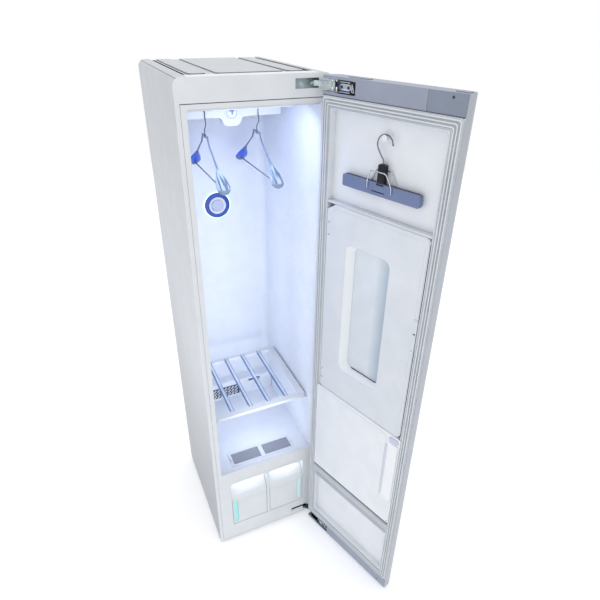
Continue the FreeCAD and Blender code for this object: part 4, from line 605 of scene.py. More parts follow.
# Finish of each slot of the record.
SLOT_FINISHES: dict[str, Finish] = {
    # Powder-coated steel sheet: white with a barely pebbled skin, and painted shade that turns it greyer
    # towards the floor.
    "white_sheet": GradedFinish(
        "powder_coated_steel_white", "#B5B9BF", "#AFB3BA", 0.36, 1.6, 0.012,
        edge_colour="#EDEFF2", far_colour="#999DA4", start_mm=1250.0, end_mm=250.0),
    # Brushed and lacquered steel of the door's skin: cool silver with a long vertical grain.
    "silver_sheet": Finish(
        "brushed_steel_lacquered", "#ADB2B9", "#A9AEB6", 0.34, 0.9, 0.010,
        stretch=(1.0, 1.0, 0.03), metallic=0.75),
    # Injection-moulded ABS of the front: satin, with a faint spark-eroded texture.
    "white_plastic": Finish("moulded_abs_white", "#DDE0E4", "#D7DBDF", 0.38, 1.2, 0.010),
    # The same ABS in a soft grey white, for the door's lining and the trouser press.
    "press_plastic": Finish("moulded_abs_soft_white", "#DFE2E7", "#D9DDE2", 0.36, 1.2, 0.010),
    # Vacuum-formed polystyrene of the lining: smoother, a little bluer.
    "liner_plastic": Finish("vacuum_formed_polystyrene", "#E4E8F0", "#DEE3ED", 0.30, 2.5, 0.015, coat=0.15),
    "blue_plastic": Finish("moulded_abs_slate_blue", "#65759C", "#5D6D94", 0.30, 1.0, 0.008, coat=0.2),
    # Polished ABS in a deep blue, round the aroma holder.
    "sky_plastic": Finish("polished_abs_deep_blue", "#2C4FA6", "#28499C", 0.24, 1.0, 0.006, coat=0.4),
    # The door's end caps.
    "cap_plastic": Finish("moulded_abs_slate", "#9299AA", "#8C93A4", 0.40, 1.0, 0.010),
    # Thermoplastic rubber of the gasket.
    "seal_rubber": Finish("extruded_seal_rubber", "#D3D7DB", "#CCD1D6", 0.60, 1.4, 0.02, sheen=0.1),
    "dark_plastic": Finish("moulded_abs_charcoal", "#33383F", "#2E3339", 0.45, 1.0, 0.012, edge_share=0.05),
    # Blow-moulded tank of clear grey polypropylene.
    "tank_plastic": Finish(
        "blow_moulded_polypropylene", "#B9C6D2", "#AFBDCA", 0.25, 3.0, 0.02, through=0.35),
    # Hot-dip galvanised steel with its spangle drawn as broad soft patches.
    "galvanised": Finish(
        "galvanised_steel", "#9AA0A5", "#868C92", 0.38, 6.0, 0.01, patch_mm=14.0, metallic=0.9),
    "chrome_steel": Finish("chrome_plated_steel", "#C3C9CE", "#B4BBC2", 0.14, 2.0, 0.002, metallic=1.0),
    # Pressure die-cast aluminium with a shot-blasted skin.
    "cast_aluminium": Finish("die_cast_aluminium", "#A4A8AC", "#989CA1", 0.45, 0.8, 0.03, metallic=0.9),
    # Bare rolled fin stock.
    "fin_aluminium": Finish("rolled_fin_aluminium", "#B8BCC0", "#ADB2B7", 0.30, 0.6, 0.005, metallic=1.0),
    # Black cathodic paint on pressed steel.
    "black_steel": Finish(
        "black_painted_steel", "#1E2022", "#232629", 0.40, 1.2, 0.02, edge_colour="#5A5F64"),
    "belt_rubber": Finish("neoprene_belt", "#1B1C1E", "#202224", 0.65, 0.7, 0.03),
    # Smoked glass over the controls.
    "dark_glass": Finish("smoked_glass", "#0C0E12", "#0E1014", 0.06, 4.0, 0.001, coat=0.5),
}

# Finishes of single nodes and of small pieces.
OWN_FINISHES: dict[str, Finish] = {
    # Extruded acrylic of the shelf's bars, with a painted highlight along the middle.
    "bar_plastic": ClearBar("extruded_clear_acrylic", "#D4DCE6", "#CAD3DF", 0.28, 1.0, 0.008, coat=0.3),
    # Matt ABS with a lilac cast on the aroma holder's knob.
    "knob_plastic": Finish("moulded_abs_lilac_grey", "#BFC4DC", "#B6BCD6", 0.34, 1.0, 0.010),
    # Polished white ABS on the face of the crease guide, and a lilac-grey strip along its edge painted as the
    # guide's shadow.
    "guide_face": Finish("moulded_abs_guide_white", "#E6E8EB", "#E1E4E7", 0.30, 1.2, 0.008),
    "guide_fin": Finish("moulded_abs_guide_shadow", "#CBCDD8", "#C4C7D3", 0.36, 1.2, 0.010),
    # The darker cover on the free end of the door's top cap.
    "cover_plastic": Finish("moulded_abs_dark_slate", "#808A9A", "#798393", 0.40, 1.0, 0.010),
    # The gasket's rubber, a shade darker, in the seal's thin lips.
    "lip_rubber": Finish("extruded_lip_rubber", "#B4BAC1", "#ACB3BA", 0.60, 1.0, 0.02, sheen=0.1),
    # Satin ABS trim between the seal and the door's trays.
    "flange_plastic": Finish("moulded_abs_pale_grey", "#CDD1D6", "#C6CBD1", 0.42, 1.2, 0.010),
    # The same ABS, painted darker as shade, on the cross rail.
    "rail_plastic": Finish("moulded_abs_rail_grey", "#A9ADB9", "#A2A6B3", 0.42, 1.2, 0.010),
    # ABS of the hanger bar and its hub.
    "rack_plastic": Finish("moulded_abs_rack", "#DEE0E2", "#D8DADD", 0.38, 1.2, 0.010),
    # Slate blue at the bottom of the hub's groove and recesses, painted as their shade.
    "recess_plastic": Finish("moulded_abs_recess_shade", "#6F8FB4", "#6685AA", 0.42, 1.0, 0.010),
    # Press cover: the walls of its window, below its face, are painted paler, as painted light.
    "cover_abs": GradedFinish(
        "moulded_abs_press_cover", "#D1D5DB", "#CBD0D6", 0.36, 1.2, 0.010, far_colour="#E9ECF0",
        axis=DOOR.h, start_mm=DOOR.mark(DOOR.h, -0.4), end_mm=DOOR.mark(DOOR.h, -2.5)),
    # The same ABS in the cover's latch.
    "latch_abs": Finish("moulded_abs_press_latch", "#D1D5DB", "#CBD0D6", 0.36, 1.2, 0.010),
    # Smooth board of the press, darker towards its free edge by painted shadow of the window's wall.
    "board_laminate": GradedFinish(
        "pressed_board_laminate", "#CDD4DB", "#C6CED6", 0.30, 1.6, 0.006, far_colour="#8FA2B2",
        axis=DOOR.a, start_mm=DOOR.mark(DOOR.a, 225.0), end_mm=DOOR.mark(DOOR.a, 284.0)),
    # Moulded ABS of the air grille, a shade of slate.
    "grille_plastic": Finish("moulded_abs_grille", "#454F63", "#3E485C", 0.42, 1.0, 0.010),
    # Dark rubber of narrow joints; the same dark is painted shade in strips and lines that stand for shadowed
    # gaps.
    "joint_rubber": Finish(
        "extruded_joint_rubber", "#3A3E45", "#34383E", 0.70, 0.8, 0.02, edge_share=0.02),
    # Black moulded nylon of the clip; the same black is painted shadow in strips of deep joints and in slots.
    "black_nylon": Finish(
        "moulded_black_nylon", "#07070A", "#0A0A0E", 0.70, 0.9, 0.010, edge_colour="#2A2E35"),
    # Pressed steel of the hinges, polished and nickel plated, with painted shade that darkens the lower
    # hinge.
    "hinge_steel": GradedFinish(
        "nickel_plated_steel", "#C6D4D6", "#94A4A9", 0.20, 3.0, 0.004, patch_mm=24.0, metallic=1.0,
        edge_colour="#E4E9EB", edge_share=0.35, far_colour="#37434A", start_mm=900.0, end_mm=800.0),
    # Drawn steel wire of the hanger hooks.
    "wire_steel": Finish("drawn_steel_wire", "#777E87", "#6A717A", 0.22, 0.8, 0.003, metallic=1.0),
    # Opal diffuser over cool white diodes.
    "light_lens": Finish(
        "opal_diffuser_lit", "#EAF3FF", "#E2EEFF", 0.30, 1.0, 0.004, glow="#BFD9FF", glow_strength=0.5),
    # Tinted level window whose glow is painted light, bright on one tank and dim on the other.
    "level_cyan": Finish(
        "tinted_window_painted_glow", "#86D6D6", "#98DEDD", 0.20, 1.0, 0.003, coat=0.3,
        glow="#6FD6D6", glow_strength=0.22),
    "level_pale": Finish(
        "tinted_window_faint_painted_glow", "#BFE2E9", "#CBE8EE", 0.20, 1.0, 0.003, coat=0.3,
        glow="#A8E4F0", glow_strength=0.12),
    # Light guide round the aroma holder.
    "glow_ring": Finish(
        "light_guide_lit", "#CFF5F3", "#DBF8F5", 0.20, 1.0, 0.003, glow="#B5F0EC", glow_strength=2.5),
    # Woven nylon of the lint filter.
    "filter_mesh": WovenMesh("woven_nylon_mesh", "#A9AEBA", "#A0A6B3", 0.6, 0.6, 0.02, pitch_mm=4.0),
    # Clear blue resin of the clothes hangers, with a painted reflection on its front.
    "hanger_resin": HangerResin(
        "cast_clear_resin", "#4B5C82", "#43547A", 0.16, 2.0, 0.004, coat=0.5, through=0.15),
}

# CAD nodes that don't wear the finish of their slot.
NODE_FINISHES: dict[str, str] = {
    "hanger_body_left": "hanger_resin",
    "hanger_body_right": "hanger_resin",
    "hanger_hook_left": "wire_steel",
    "hanger_hook_right": "wire_steel",
    "trouser_hook": "wire_steel",
    "shelf_bars": "bar_plastic",
    "rear_grille": "grille_plastic",
    "hinge_plates": "hinge_steel",
    "hinge_leaves": "hinge_steel",
    "press_cover": "cover_abs",
    "press_latch": "latch_abs",
    "press_board": "board_laminate",
    "hanger_bar": "rack_plastic",
}


class Finishes:
    """Every material, built once and found by its key."""

    def __init__(self) -> None:
        """Build the materials."""
        self.built = {key: finish.build() for key, finish in (SLOT_FINISHES | OWN_FINISHES).items()}

    def __getitem__(self, key: str) -> Material:
        """Material of a key."""
        return self.built[key]

    def dress_nodes(self) -> None:
        """Give each CAD node its own finish, or else the finish of its slot."""
        for part in frame["record"]["subparts"]:
            name = part["node"]
            node = frame["nodes"][name]
            node.data.materials.clear()
            node.data.materials.append(self[NODE_FINISHES.get(name, part["material_slot"])])
        LOG.info("dressed %d nodes", len(frame["nodes"]))


@dataclass(frozen=True)
class Trim:
    """One new piece; its slot field is not used."""

    name: str
    body: Body
    shell: Shell
    finish: str
    slot: str = ""

    def write(self, finishes: Finishes) -> None:
        """Write the piece in its finish and let it ride its body."""
        mesh = self.shell.mesh(self.name)
        mesh.materials.append(finishes[self.finish])
        piece = bpy.data.objects.new(self.name, mesh)
        bpy.context.scene.collection.objects.link(piece)
        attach(piece, self.body.value)
        self.slot or self.finish
        LOG.info("%s: %d faces on %s", self.name, len(mesh.polygons), self.body.value)


class Assembly:
    """Group of pieces that are drawn and written together."""

    def draw(self) -> Iterator[Trim]:
        """Draw the pieces, one after another."""
        raise NotImplementedError

    def dress(self, finishes: Finishes) -> None:
        """Write every piece of the group in its finish."""
        for trim in self.draw():
            trim.write(finishes)


# ---- chamber -----------------------------------------------------------------------------------
@dataclass
class ChamberLight(Assembly):
    """Opal light bar in the ceiling, just behind the header."""

    half_length: float = 120.0
    half_width: float = 11.0
    y: float = FRONT + 40.0
    thick: float = 5.0

    def draw(self) -> Iterator[Trim]:
        """Draw the lens under the ceiling."""
        lens = plate((0.0, self.y), self.half_length, self.half_width, corner=10.0,
                     low=-CHAMBER_TOP, high=-CHAMBER_TOP + self.thick, edge=3.0)
        shell = Shell().grid(DOWNWARDS.at(lens))
        yield Trim("chamber_light_lens", Body.CABINET, shell, "light_lens", "white_plastic")


@dataclass
class LintFilter(Assembly):
    """Woven mesh in both windows of the lint filter."""

    windows: tuple[tuple[float, float], ...] = ((-126.0, -8.5), (8.5, 126.0))
    near: float = FRONT + 45.0
    far: float = FRONT + 103.0
    height: float = 393.2
    overlap: float = 1.2
    sag: float = 0.8
    thick: float = 0.4

    def draw(self) -> Iterator[Trim]:
        """Draw one sheet for each window, sagging by sin(pi s) * sin(pi t) times the sag."""
        shell = Shell()
        wider = 2 * self.overlap
        for left, right in self.windows:
            across, along = np.meshgrid(np.linspace(0, 1, 25), np.linspace(0, 1, 13), indexing="ij")
            sag = self.sag * np.sin(np.pi * across) * np.sin(np.pi * along)
            x = left - self.overlap + (right - left + wider) * across
            y = self.near - self.overlap + (self.far - self.near + wider) * along
            upper = np.stack([x, y, self.height - sag], -1)
            shell.grid(upper, wrap_columns=False, caps=False)
            shell.grid(upper - np.array([0, 0, self.thick]), wrap_columns=False, caps=False)
        yield Trim("filter_mesh", Body.FILTER, shell, "filter_mesh", "dark_plastic")


@dataclass
class AromaHolder(Assembly):
    """Light ring round the aroma holder, and the white collar and grey knob cover in it."""

    z: float = 1332.0
    collar_outer: float = 33.6
    collar_inner: float = 24.0
    knob_radius: float = 22.0
    light_radius: float = 51.6
    bead_radius: float = 1.2
    proud: float = 7.0

    def draw(self) -> Iterator[Trim]:
        """Draw the light ring, the collar and the knob cover, all turned about one axis."""
        proud = self.proud
        around = turns(12)
        bead = np.column_stack([self.light_radius + self.bead_radius * np.cos(around),
                                1.5 + self.bead_radius * np.sin(around)])
        collar = np.array([
            [self.collar_inner, proud - 2.0], [self.collar_outer, proud - 1.0],
            [self.collar_outer, proud + 1.2], [self.collar_outer - 1.5, proud + 2.4],
            [self.collar_inner + 1.0, proud + 0.4], [self.collar_inner, proud - 0.6]])
        knob = np.array([
            [0.0, 4.0], [self.knob_radius, 4.0], [self.knob_radius, proud + 0.6],
            [self.knob_radius - 1.4, proud + 1.6], [self.knob_radius - 5.0, proud + 1.2],
            [8.0, proud + 0.2], [0.0, proud]])
        ring = self.turned(bead, 72, True)
        cover = self.turned(knob, 48, False)
        yield Trim("aroma_light_ring", Body.CABINET, ring, "glow_ring", "white_plastic")
        yield Trim("aroma_collar", Body.AROMA, self.turned(collar, 48, True), "white_plastic")
        yield Trim("aroma_knob_cover", Body.AROMA, cover, "knob_plastic", "cap_plastic")

    def turned(self, profile: Array, steps: int, closed: bool) -> Shell:
        """Profile turned about the holder's axis, either closed in itself or open."""
        drawn = CHAMBER_BACK_VIEW.at(lathe(profile, (0.0, self.z), steps=steps))
        return Shell().grid(drawn, wrap_rows=closed, caps=False)


@dataclass
class RackHub(Assembly):
    """Bare round cover on the front of the hanger bar's hub."""

    z: float = 1716.0
    radius: float = 24.0
    face: float = 15.0 - RACK_Y
    groove: tuple[float, float] = (15.6, 17.0)

    def draw(self) -> Iterator[Trim]:
        """Draw the cover disc, then its groove and the two recesses in its middle, in slate blue painted as
        their shade.
        """
        face = self.face
        radius = self.radius
        profile = np.array([
            [0.0, face], [radius, face], [radius, face + 1.6], [radius - 1.0, face + 2.2],
            [radius - 4.0, face + 2.4], [radius - 5.0, face + 1.8], [0.0, face + 1.8]])
        cover = Shell().grid(FORWARDS.at(lathe(profile, (0.0, self.z))), caps=False)
        inner, outer = self.groove
        ring = np.array([[inner, face + 1.2], [outer, face + 1.2], [outer, face + 2.0], [inner, face + 2.0]])
        recess = Shell().grid(FORWARDS.at(lathe(ring, (0.0, self.z))), wrap_rows=True)
        for centre, half_a, half_b, corner, high in (((0.0, self.z + 6.5), 8.5, 2.4, 1.0, face + 2.0),
                                                     ((1.5, self.z + 0.5), 2.6, 5.6, 2.4, face + 1.95)):
            pocket = plate(centre, half_a, half_b, corner, low=face + 1.0, high=high, edge=0.3)
            recess.grid(FORWARDS.at(pocket))
        yield Trim("rack_hub_cover", Body.RACK, cover, "rack_plastic", "white_plastic")
        yield Trim("rack_hub_recess", Body.RACK, recess, "recess_plastic", "blue_plastic")


@dataclass
class GrilleBlades(Assembly):
    """Slanted pale blades in front of the air grille, and a dark strip painted as the shade in the steam
    slit.
    """

    y: float = CHAMBER_BACK - 51.0
    left: float = -162.0
    right: float = 20.0
    low: float = 408.0
    rows: int = 3
    row: float = 17.0
    blade: float = 13.0
    pitch: float = 17.0
    lean: float = 12.0
    radius: float = 3.0

    def draw(self) -> Iterator[Trim]:
        """Draw the rows of blades and the slit's painted shade."""
        blades = Shell()
        share = np.array([0.0, 0.5, 1.0])
        for index in range(self.rows):
            foot = self.low + index * self.row
            for x in np.arange(self.left, self.right, self.pitch):
                run = np.column_stack([x + self.lean * share, np.full(3, self.y), foot + self.blade * share])
                blades.grid(tube(run, self.radius, (0, 1, 0), sides=8))
        # A dark strip painted as the shade in the steam slit.
        lip = plate((105.0, 471.0), 29.0, 2.2, corner=1.5, low=-self.y - 0.5, high=-self.y + 0.6, edge=0.4)
        yield Trim("grille_blades", Body.CABINET, blades, "liner_plastic")
        yield Trim("steam_slit_shade", Body.CABINET, Shell().grid(FORWARDS.at(lip)), "grille_plastic",
                   "dark_plastic")


# ---- tanks -------------------------------------------------------------------------------------
@dataclass
class Tanks(Assembly):
    """Level windows, filling caps and the light strips over the tanks."""

    window_left: float = 136.5
    window_right: float = 151.5
    window_low: float = 105.0
    window_high: float = 233.0
    cap_x: float = 83.0
    cap_y: float = FRONT + 122.0
    neck_top: float = 315.0
    ribs: int = 24

    def draw(self) -> Iterator[Trim]:
        """Draw both sides; the supply tank is on the left."""
        for side, body, painted_glow in ((-1.0, Body.SUPPLY_TANK, "level_cyan"), (1.0, Body.DRAIN_TANK, "level_pale")):
            name = body.value
            middle = side * (self.window_left + self.window_right) / 2
            half = (self.window_right - self.window_left) / 2 - 0.3
            window = plate((middle, (self.window_low + self.window_high) / 2), half,
                           (self.window_high - self.window_low) / 2 - 0.4,
                           corner=half - 0.1, low=-4.0, high=-1.2, edge=0.8)
            strip = plate((side * self.cap_x, FRONT + 12.0), 62.0, 4.0,
                          corner=3.0, low=-338.0, high=-335.5, edge=1.2)
            yield Trim(name + "_level_window", body, Shell().grid(FRONT_VIEW.at(window)), painted_glow, "tank_plastic")
            yield Trim(name + "_cap", body, self.cap(side * self.cap_x), "cap_plastic")
            yield Trim(name + "_light_strip", Body.CABINET, Shell().grid(DOWNWARDS.at(strip)), "light_lens",
                       "white_plastic")

    def cap(self, x: float) -> Shell:
        """Ribbed cap over a filling neck at x: its skirt's radius is R + 0.5 cos(ribs * t)."""
        steps = 6 * self.ribs
        around = turns(steps)
        radius, level, ribbed = np.array([
            [22.3, -6.0, 0.0], [25.0, -6.0, 1.0], [25.0, 5.0, 1.0], [23.5, 7.0, 0.0], [18.0, 7.6, 0.0],
            [17.0, 6.4, 0.0], [0.0, 6.4, 0.0], [0.0, 0.6, 0.0], [22.3, 0.6, 0.0]]).T[:, :, None]
        radius = radius + ribbed * 0.5 * np.cos(self.ribs * around)
        height = np.repeat(self.neck_top + level, steps, 1)
        drawn = np.stack([x + radius * np.cos(around), self.cap_y + radius * np.sin(around), height], -1)
        return Shell().grid(drawn, wrap_rows=True)


# ---- top ---------------------------------------------------------------------------------------
@dataclass
class TopGutters(Assembly):
    """Black louvred strip that lines each gutter of the top sheet."""

    pitch: float = 8.0
    rise: float = 1.2
    land: float = 0.4
    near: float = FRONT + 56.0
    far: float = BACK - 14.0
    base: float = HEIGHT - 14.0
    floor: float = HEIGHT - 6.5
    crest: float = HEIGHT - 2.4

    def draw(self) -> Iterator[Trim]:
        """Draw a strip a side that rises steeply and falls slowly over each pitch, like saw teeth."""
        count = int((self.far - self.near) / self.pitch)
        start = self.near + self.pitch * np.arange(count)[:, None]
        along = (start + np.array([0.0, self.rise, self.pitch - self.land])).ravel()
        height = np.tile([self.floor, self.crest, self.floor], count)
        half = GUTTER_WIDTH / 2 - 0.4
        for side, name in ((-1, "gutter_louvres_left"), (1, "gutter_louvres_right")):
            middle = side * (GUTTER_OUTER - GUTTER_WIDTH / 2)
            upper = [np.column_stack([np.full(len(along), middle + across), along, height])
                     for across in (-half, -half + 1.0, half - 1.0, half)]
            upper[0][:, 2] = self.crest
            upper[3][:, 2] = self.crest
            under = [row * [1, 1, 0] + [0, 0, self.base] for row in (upper[3], upper[0])]
            shell = Shell().grid(np.stack(upper + under, 1))
            yield Trim(name, Body.CABINET, shell, "black_nylon", "dark_plastic")


# ---- door --------------------------------------------------------------------------------------
@dataclass
class EndCover(Assembly):
    """Cover on the free end of the door's top cap, with the window of the door sensor."""

    left: float = 340.4
    right: float = 442.6
    low: float = 1800.6
    high: float = 1847.4
    sensor: tuple[float, float] = (406.0, 1838.0)

    def draw(self) -> Iterator[Trim]:
        """Draw the cover and the sensor's lens."""
        cover = slab(self.left, self.right, self.low, self.high, corner=1.5, low=0.05, high=0.6, edge=0.4)
        lens = np.array([[0.0, 0.2], [3.4, 0.2], [3.4, 0.9], [2.6, 1.3], [1.2, 1.0], [0.0, 0.9]])
        window = Shell().grid(DOOR.at(lathe(lens, self.sensor, steps=32)), caps=False)
        yield Trim("door_end_cover", Body.DOOR, Shell().grid(DOOR.at(cover)), "cover_plastic", "cap_plastic")
        yield Trim("door_sensor_lens", Body.DOOR, window, "dark_glass")


@dataclass
class SealLips(Assembly):
    """Thin rubber lips of the door's seal and the trim between the seal and the trays."""

    width: float = 445.0
    low: float = 62.0
    high: float = 1801.0
    lips: tuple[tuple[float, float], ...] = ((3.0, 0.5), (12.0, 2.4), (20.2, 2.4), (28.4, 0.7), (31.6, 0.7))
    cross_lips: tuple[tuple[float, float], ...] = (
        (325.0, 0.9), (333.0, 0.9), (341.0, 0.9), (358.0, 1.9), (373.0, 0.9))
    rail_z: float = 350.0

    def ring(self, inset: float, corner: float, section: Array) -> Array:
        """Section carried round the inner face at an inset from its edge."""
        middle = (self.width / 2, (self.low + self.high) / 2)
        half_b = (self.high - self.low) / 2 - inset
        return DOOR.at(moulding(middle, self.width / 2 - inset, half_b, corner, section))

    def draw(self) -> Iterator[Trim]:
        """Draw the lips, the trim ring and the trim of the cross rail."""
        lips = Shell()
        bead = np.array([[-0.7, 0.0], [-0.5, 0.6], [0.5, 0.6], [0.7, 0.0], [0.4, -1.4], [-0.4, -1.4]])
        for inset, level in self.lips:
            lips.grid(self.ring(inset, 8.0, bead + [0.0, level]), wrap_rows=True)
        for z, face in self.cross_lips:
            lip = plate((self.width / 2, z), 186.0, 0.6, corner=0.3, low=-0.4, high=face, edge=0.3)
            lips.grid(DOOR.at(lip))
        band = np.array([[0.0, -0.3], [0.0, 0.3], [0.3, 0.5], [9.0, 0.5], [9.3, 0.3], [9.3, -0.3]])
        flange = Shell().grid(self.ring(26.1, 3.0, band), wrap_rows=True)
        rail = plate((self.width / 2, self.rail_z), 187.0, 29.6, corner=2.0, low=-0.3, high=0.5, edge=0.3)
        yield Trim("door_seal_lips", Body.DOOR, lips, "lip_rubber", "seal_rubber")
        yield Trim("door_flange_trim", Body.DOOR, flange, "flange_plastic", "press_plastic")
        yield Trim("door_rail_trim", Body.DOOR, Shell().grid(DOOR.at(rail)), "rail_plastic", "press_plastic")


@dataclass
class PressTrim(Assembly):
    """Shadow strips, ledges, guide, rim and the painted shade strips in the window of the trouser press."""

    left: float = 38.5
    right: float = 407.0
    low: float = 806.0
    high: float = 1503.0
    latch_low: float = 1160.0
    latch_high: float = 1258.0
    knuckles: tuple[float, float] = (866.0, 1423.0)
    knuckle_room: float = 26.0
    rim_radius: float = 6.0
    rim_flatness: float = 0.33

    def draw(self) -> Iterator[Trim]:
        """Draw the latch's slot, what stands on the door, and what rides on the cover."""
        # The latch's slot is a dark patch painted as the shade in its hole.
        slot = self.bars((397.0, 404.0, 1208.0, 1216.0, -0.4, 0.3))
        ledges = self.bars((37.0, 408.0, self.high + 0.9, self.high + 6.8, -19.6, -0.5),
                           (44.0, 398.0, self.low - 2.8, self.low - 0.2, -6.0, -0.4))
        face = self.bars((371.0, 408.0, 502.0, 768.0, 5.4, 6.1))
        # Lilac-grey strip painted as the crease guide's shadow.
        guide_shade = self.bars((361.0, 369.0, 512.0, 752.0, 3.8, 5.3))
        catch = plate((389.0, 785.0), 19.0, 9.5, corner=9.0, low=3.8, high=5.6, edge=1.2)
        # Dark strips painted as the shadow gap between the window's collar and the board.
        seal = self.bars((158.0, 272.0, 936.4, 938.6, -27.4, -25.6),
                         (278.2, 280.0, 962.0, 1360.0, -27.4, -25.6))
        yield Trim("press_latch_slot", Body.LID_LATCH, slot, "black_nylon", "dark_plastic")
        yield Trim("press_shadow_strips", Body.DOOR, self.shadows(), "black_nylon", "dark_plastic")
        yield Trim("press_ledges", Body.DOOR, ledges, "flange_plastic", "press_plastic")
        yield Trim("crease_guide_face", Body.DOOR, face, "guide_face", "white_plastic")
        yield Trim("crease_guide_shadow", Body.DOOR, guide_shade, "guide_fin", "press_plastic")
        yield Trim("crease_guide_catch", Body.DOOR, Shell().grid(DOOR.at(catch)), "knob_plastic",
                   "press_plastic")
        yield Trim("press_cover_rim", Body.PRESS_LID, self.rim(), "cover_abs", "press_plastic")
        yield Trim("press_window_shade", Body.PRESS_LID, seal, "joint_rubber", "seal_rubber")

    @staticmethod
    def bars(*limits: tuple[float, float, float, float, float, float]) -> Shell:
        """Straight bars, each between two sides, two ends and two levels of the door."""
        shell = Shell()
        for left, right, low, high, deep, face in limits:
            corner = min((right - left) / 2, (high - low) / 2) * 0.5
            shell.grid(DOOR.at(slab(left, right, low, high, corner=corner, low=deep, high=face, edge=0.25)))
        return shell

    def shadows(self) -> Shell:
        """Dark strips in the joints beside the cover, but for its latch and pins, and under the panel."""
        right = self.right + 1.0
        left = self.left - 1.25
        room = self.knuckle_room
        below, above = self.knuckles
        by_latch = ((self.low + 14, self.latch_low), (self.latch_high, self.high - 14))
        by_pins = ((self.low + 4, below - room), (below + room, above - room),
                   (above + room, self.high - room))
        return self.bars(
            *((right - 0.5, right + 1.5, low, high, -7.0, 0.65) for low, high in by_latch),
            *((left - 0.9, left + 0.3, low, high, -9.0, -4.5) for low, high in by_pins),
            (30.0, 413.0, 380.8, 385.4, -0.2, 3.4))

    def rim(self) -> Shell:
        """Flat bead along the cover's top and free edge, with a gap at the latch."""
        edge = self.right - 7.5
        top = self.high - 7.5
        upper = [[66.0, top, 0.0], [edge, top, 0.0], [edge, self.latch_high + 8, 0.0]]
        lower = [[edge, self.latch_low - 8, 0.0], [edge, 950.0, 0.0], [edge, 824.0, 0.0]]
        shell = Shell()
        for path, reach in ((upper, 14.0), (lower, 4.0)):
            drawn = tube(bent(np.array(path), reach=reach), self.rim_radius, (0, 0, 1), sides=16)
            drawn[..., 2] *= self.rim_flatness
            shell.grid(DOOR.at(drawn))
        return shell


@dataclass
class HingeFittings(Assembly):
    """Housing rim, links and bracket of the door's hinges, and the cover of the lower plate."""

    rim_radius: float = 1.3
    bracket_radius: float = 1.8
    rivet_places: tuple[float, float] = (67.0, 92.0)

    def draw(self) -> Iterator[Trim]:
        """Draw the fittings of both hinges."""
        rims = Shell()
        links = Shell()
        rivets = Shell()
        dome = np.array([[0.0, -2.8], [4.4, -2.8], [4.4, -2.0], [3.0, -1.2], [2.0, -1.8], [0.0, -1.8]])
        for z in HINGE_HEIGHTS:
            corners = [[56.0, z + 15.6, 0.1], [110.0, z + 15.6, 0.1],
                       [117.6, z - 15.6, 0.1], [56.0, z - 15.6, 0.1]]
            bracket = [[103.6, z - 10.0, -3.0], [103.6, z + 10.0, -3.0], [112.0, z - 10.0, -3.0],
                       [106.0, z - 10.0, -3.0]]
            rims.grid(DOOR.at(plate((86.5, z), 28.0, 15.2, corner=1.5, low=-5.0, high=-4.6, edge=0.2)))
            rims.grid(tube(DOOR.at(bent(np.array(corners), reach=4.0)), self.rim_radius, (0, 0, 1), sides=8))
            links.grid(DOOR.at(plate((80.0, z), 20.0, 8.6, corner=8.0, low=-4.7, high=-2.6, edge=0.8)))
            wire = DOOR.at(bent(np.array(bracket), reach=2.0))
            links.grid(tube(wire, self.bracket_radius, DOOR.h, sides=8))
            for edge in (-1, 1):
                wing = plate((80.0, z + edge * 12.4), 18.0, 1.3, corner=0.8, low=-4.7, high=-1.2, edge=0.4)
                links.grid(DOOR.at(wing))
            for u in self.rivet_places:
                rivets.grid(DOOR.at(lathe(dome, (u, z), steps=24)), caps=False)
        cover = plate((145.0, 31.4), 35.0, 8.6, corner=1.5, low=0.4, high=1.3, edge=0.5)
        yield Trim("hinge_housing_rims", Body.DOOR, rims, "black_nylon", "dark_plastic")
        yield Trim("hinge_links", Body.DOOR, links, "chrome_steel")
        yield Trim("hinge_rivets", Body.DOOR, rivets, "black_steel")
        yield Trim("lower_hinge_cover", Body.CABINET, Shell().grid(FRONT_VIEW.at(cover)), "white_plastic")


# ---- trouser hanger ----------------------------------------------------------------------------
@dataclass
class JawShades(Assembly):
    """Dark strip painted as the shade between the trouser hanger's jaws, and black lining painted as the
    shade in the front jaw's slot.
    """

    left: float = 92.0
    right: float = 356.0
    high: float = 1602.0

    def draw(self) -> Iterator[Trim]:
        """Draw the painted shade on the back jaw and in the front jaw's slot."""
        middle = (self.left + self.right) / 2
        # Dark plate painted as the shade in the gap between the jaws.
        pad = plate((middle, -10.6), (self.right - self.left) / 2 - 4, 3.2,
                    corner=1.5, low=-0.2, high=0.4, edge=0.2)
        lining = plate((222.0, 1578.5), 21.6, 1.2, corner=0.5, low=-1.55, high=-0.5, edge=0.2)
        above = DOOR.seen_from_above(self.high)
        yield Trim("trouser_jaw_gap_shade", Body.TROUSER_HANGER, Shell().grid(above.at(pad)), "joint_rubber",
                   "dark_plastic")
        yield Trim("trouser_jaw_slot_shade", Body.FRONT_JAW, Shell().grid(DOOR.at(lining)), "black_nylon",
                   "dark_plastic")


@dataclass
class TrouserBows(Assembly):
    """Wire bows that clamp the jaws of the trouser hanger."""

    wire: float = 1.6
    half_foot: float = 41.0
    half_top: float = 26.0
    foot: float = 1584.0
    top: float = 1636.0
    lean: float = 9.5

    def draw(self) -> Iterator[Trim]:
        """Draw the bow in front of the jaws and the one behind them."""
        for name, body, h, lean in (("trouser_bow_front", Body.FRONT_JAW, 2.0, self.lean),
                                    ("trouser_bow_back", Body.TROUSER_HANGER, -16.0, 0.0)):
            rising = np.array([[self.half_foot, self.foot, h],
                               [self.half_foot, self.foot + 18, h + lean * 0.2],
                               [self.half_top, self.top, h + lean]])
            corners = np.vstack([rising * [-1, 1, 1], rising[::-1]]) + [PEG_U, 0, 0]
            shell = Shell().grid(tube(DOOR.at(bent(corners, reach=7.0)), self.wire, DOOR.h))
            yield Trim(name, body, shell, "chrome_steel")


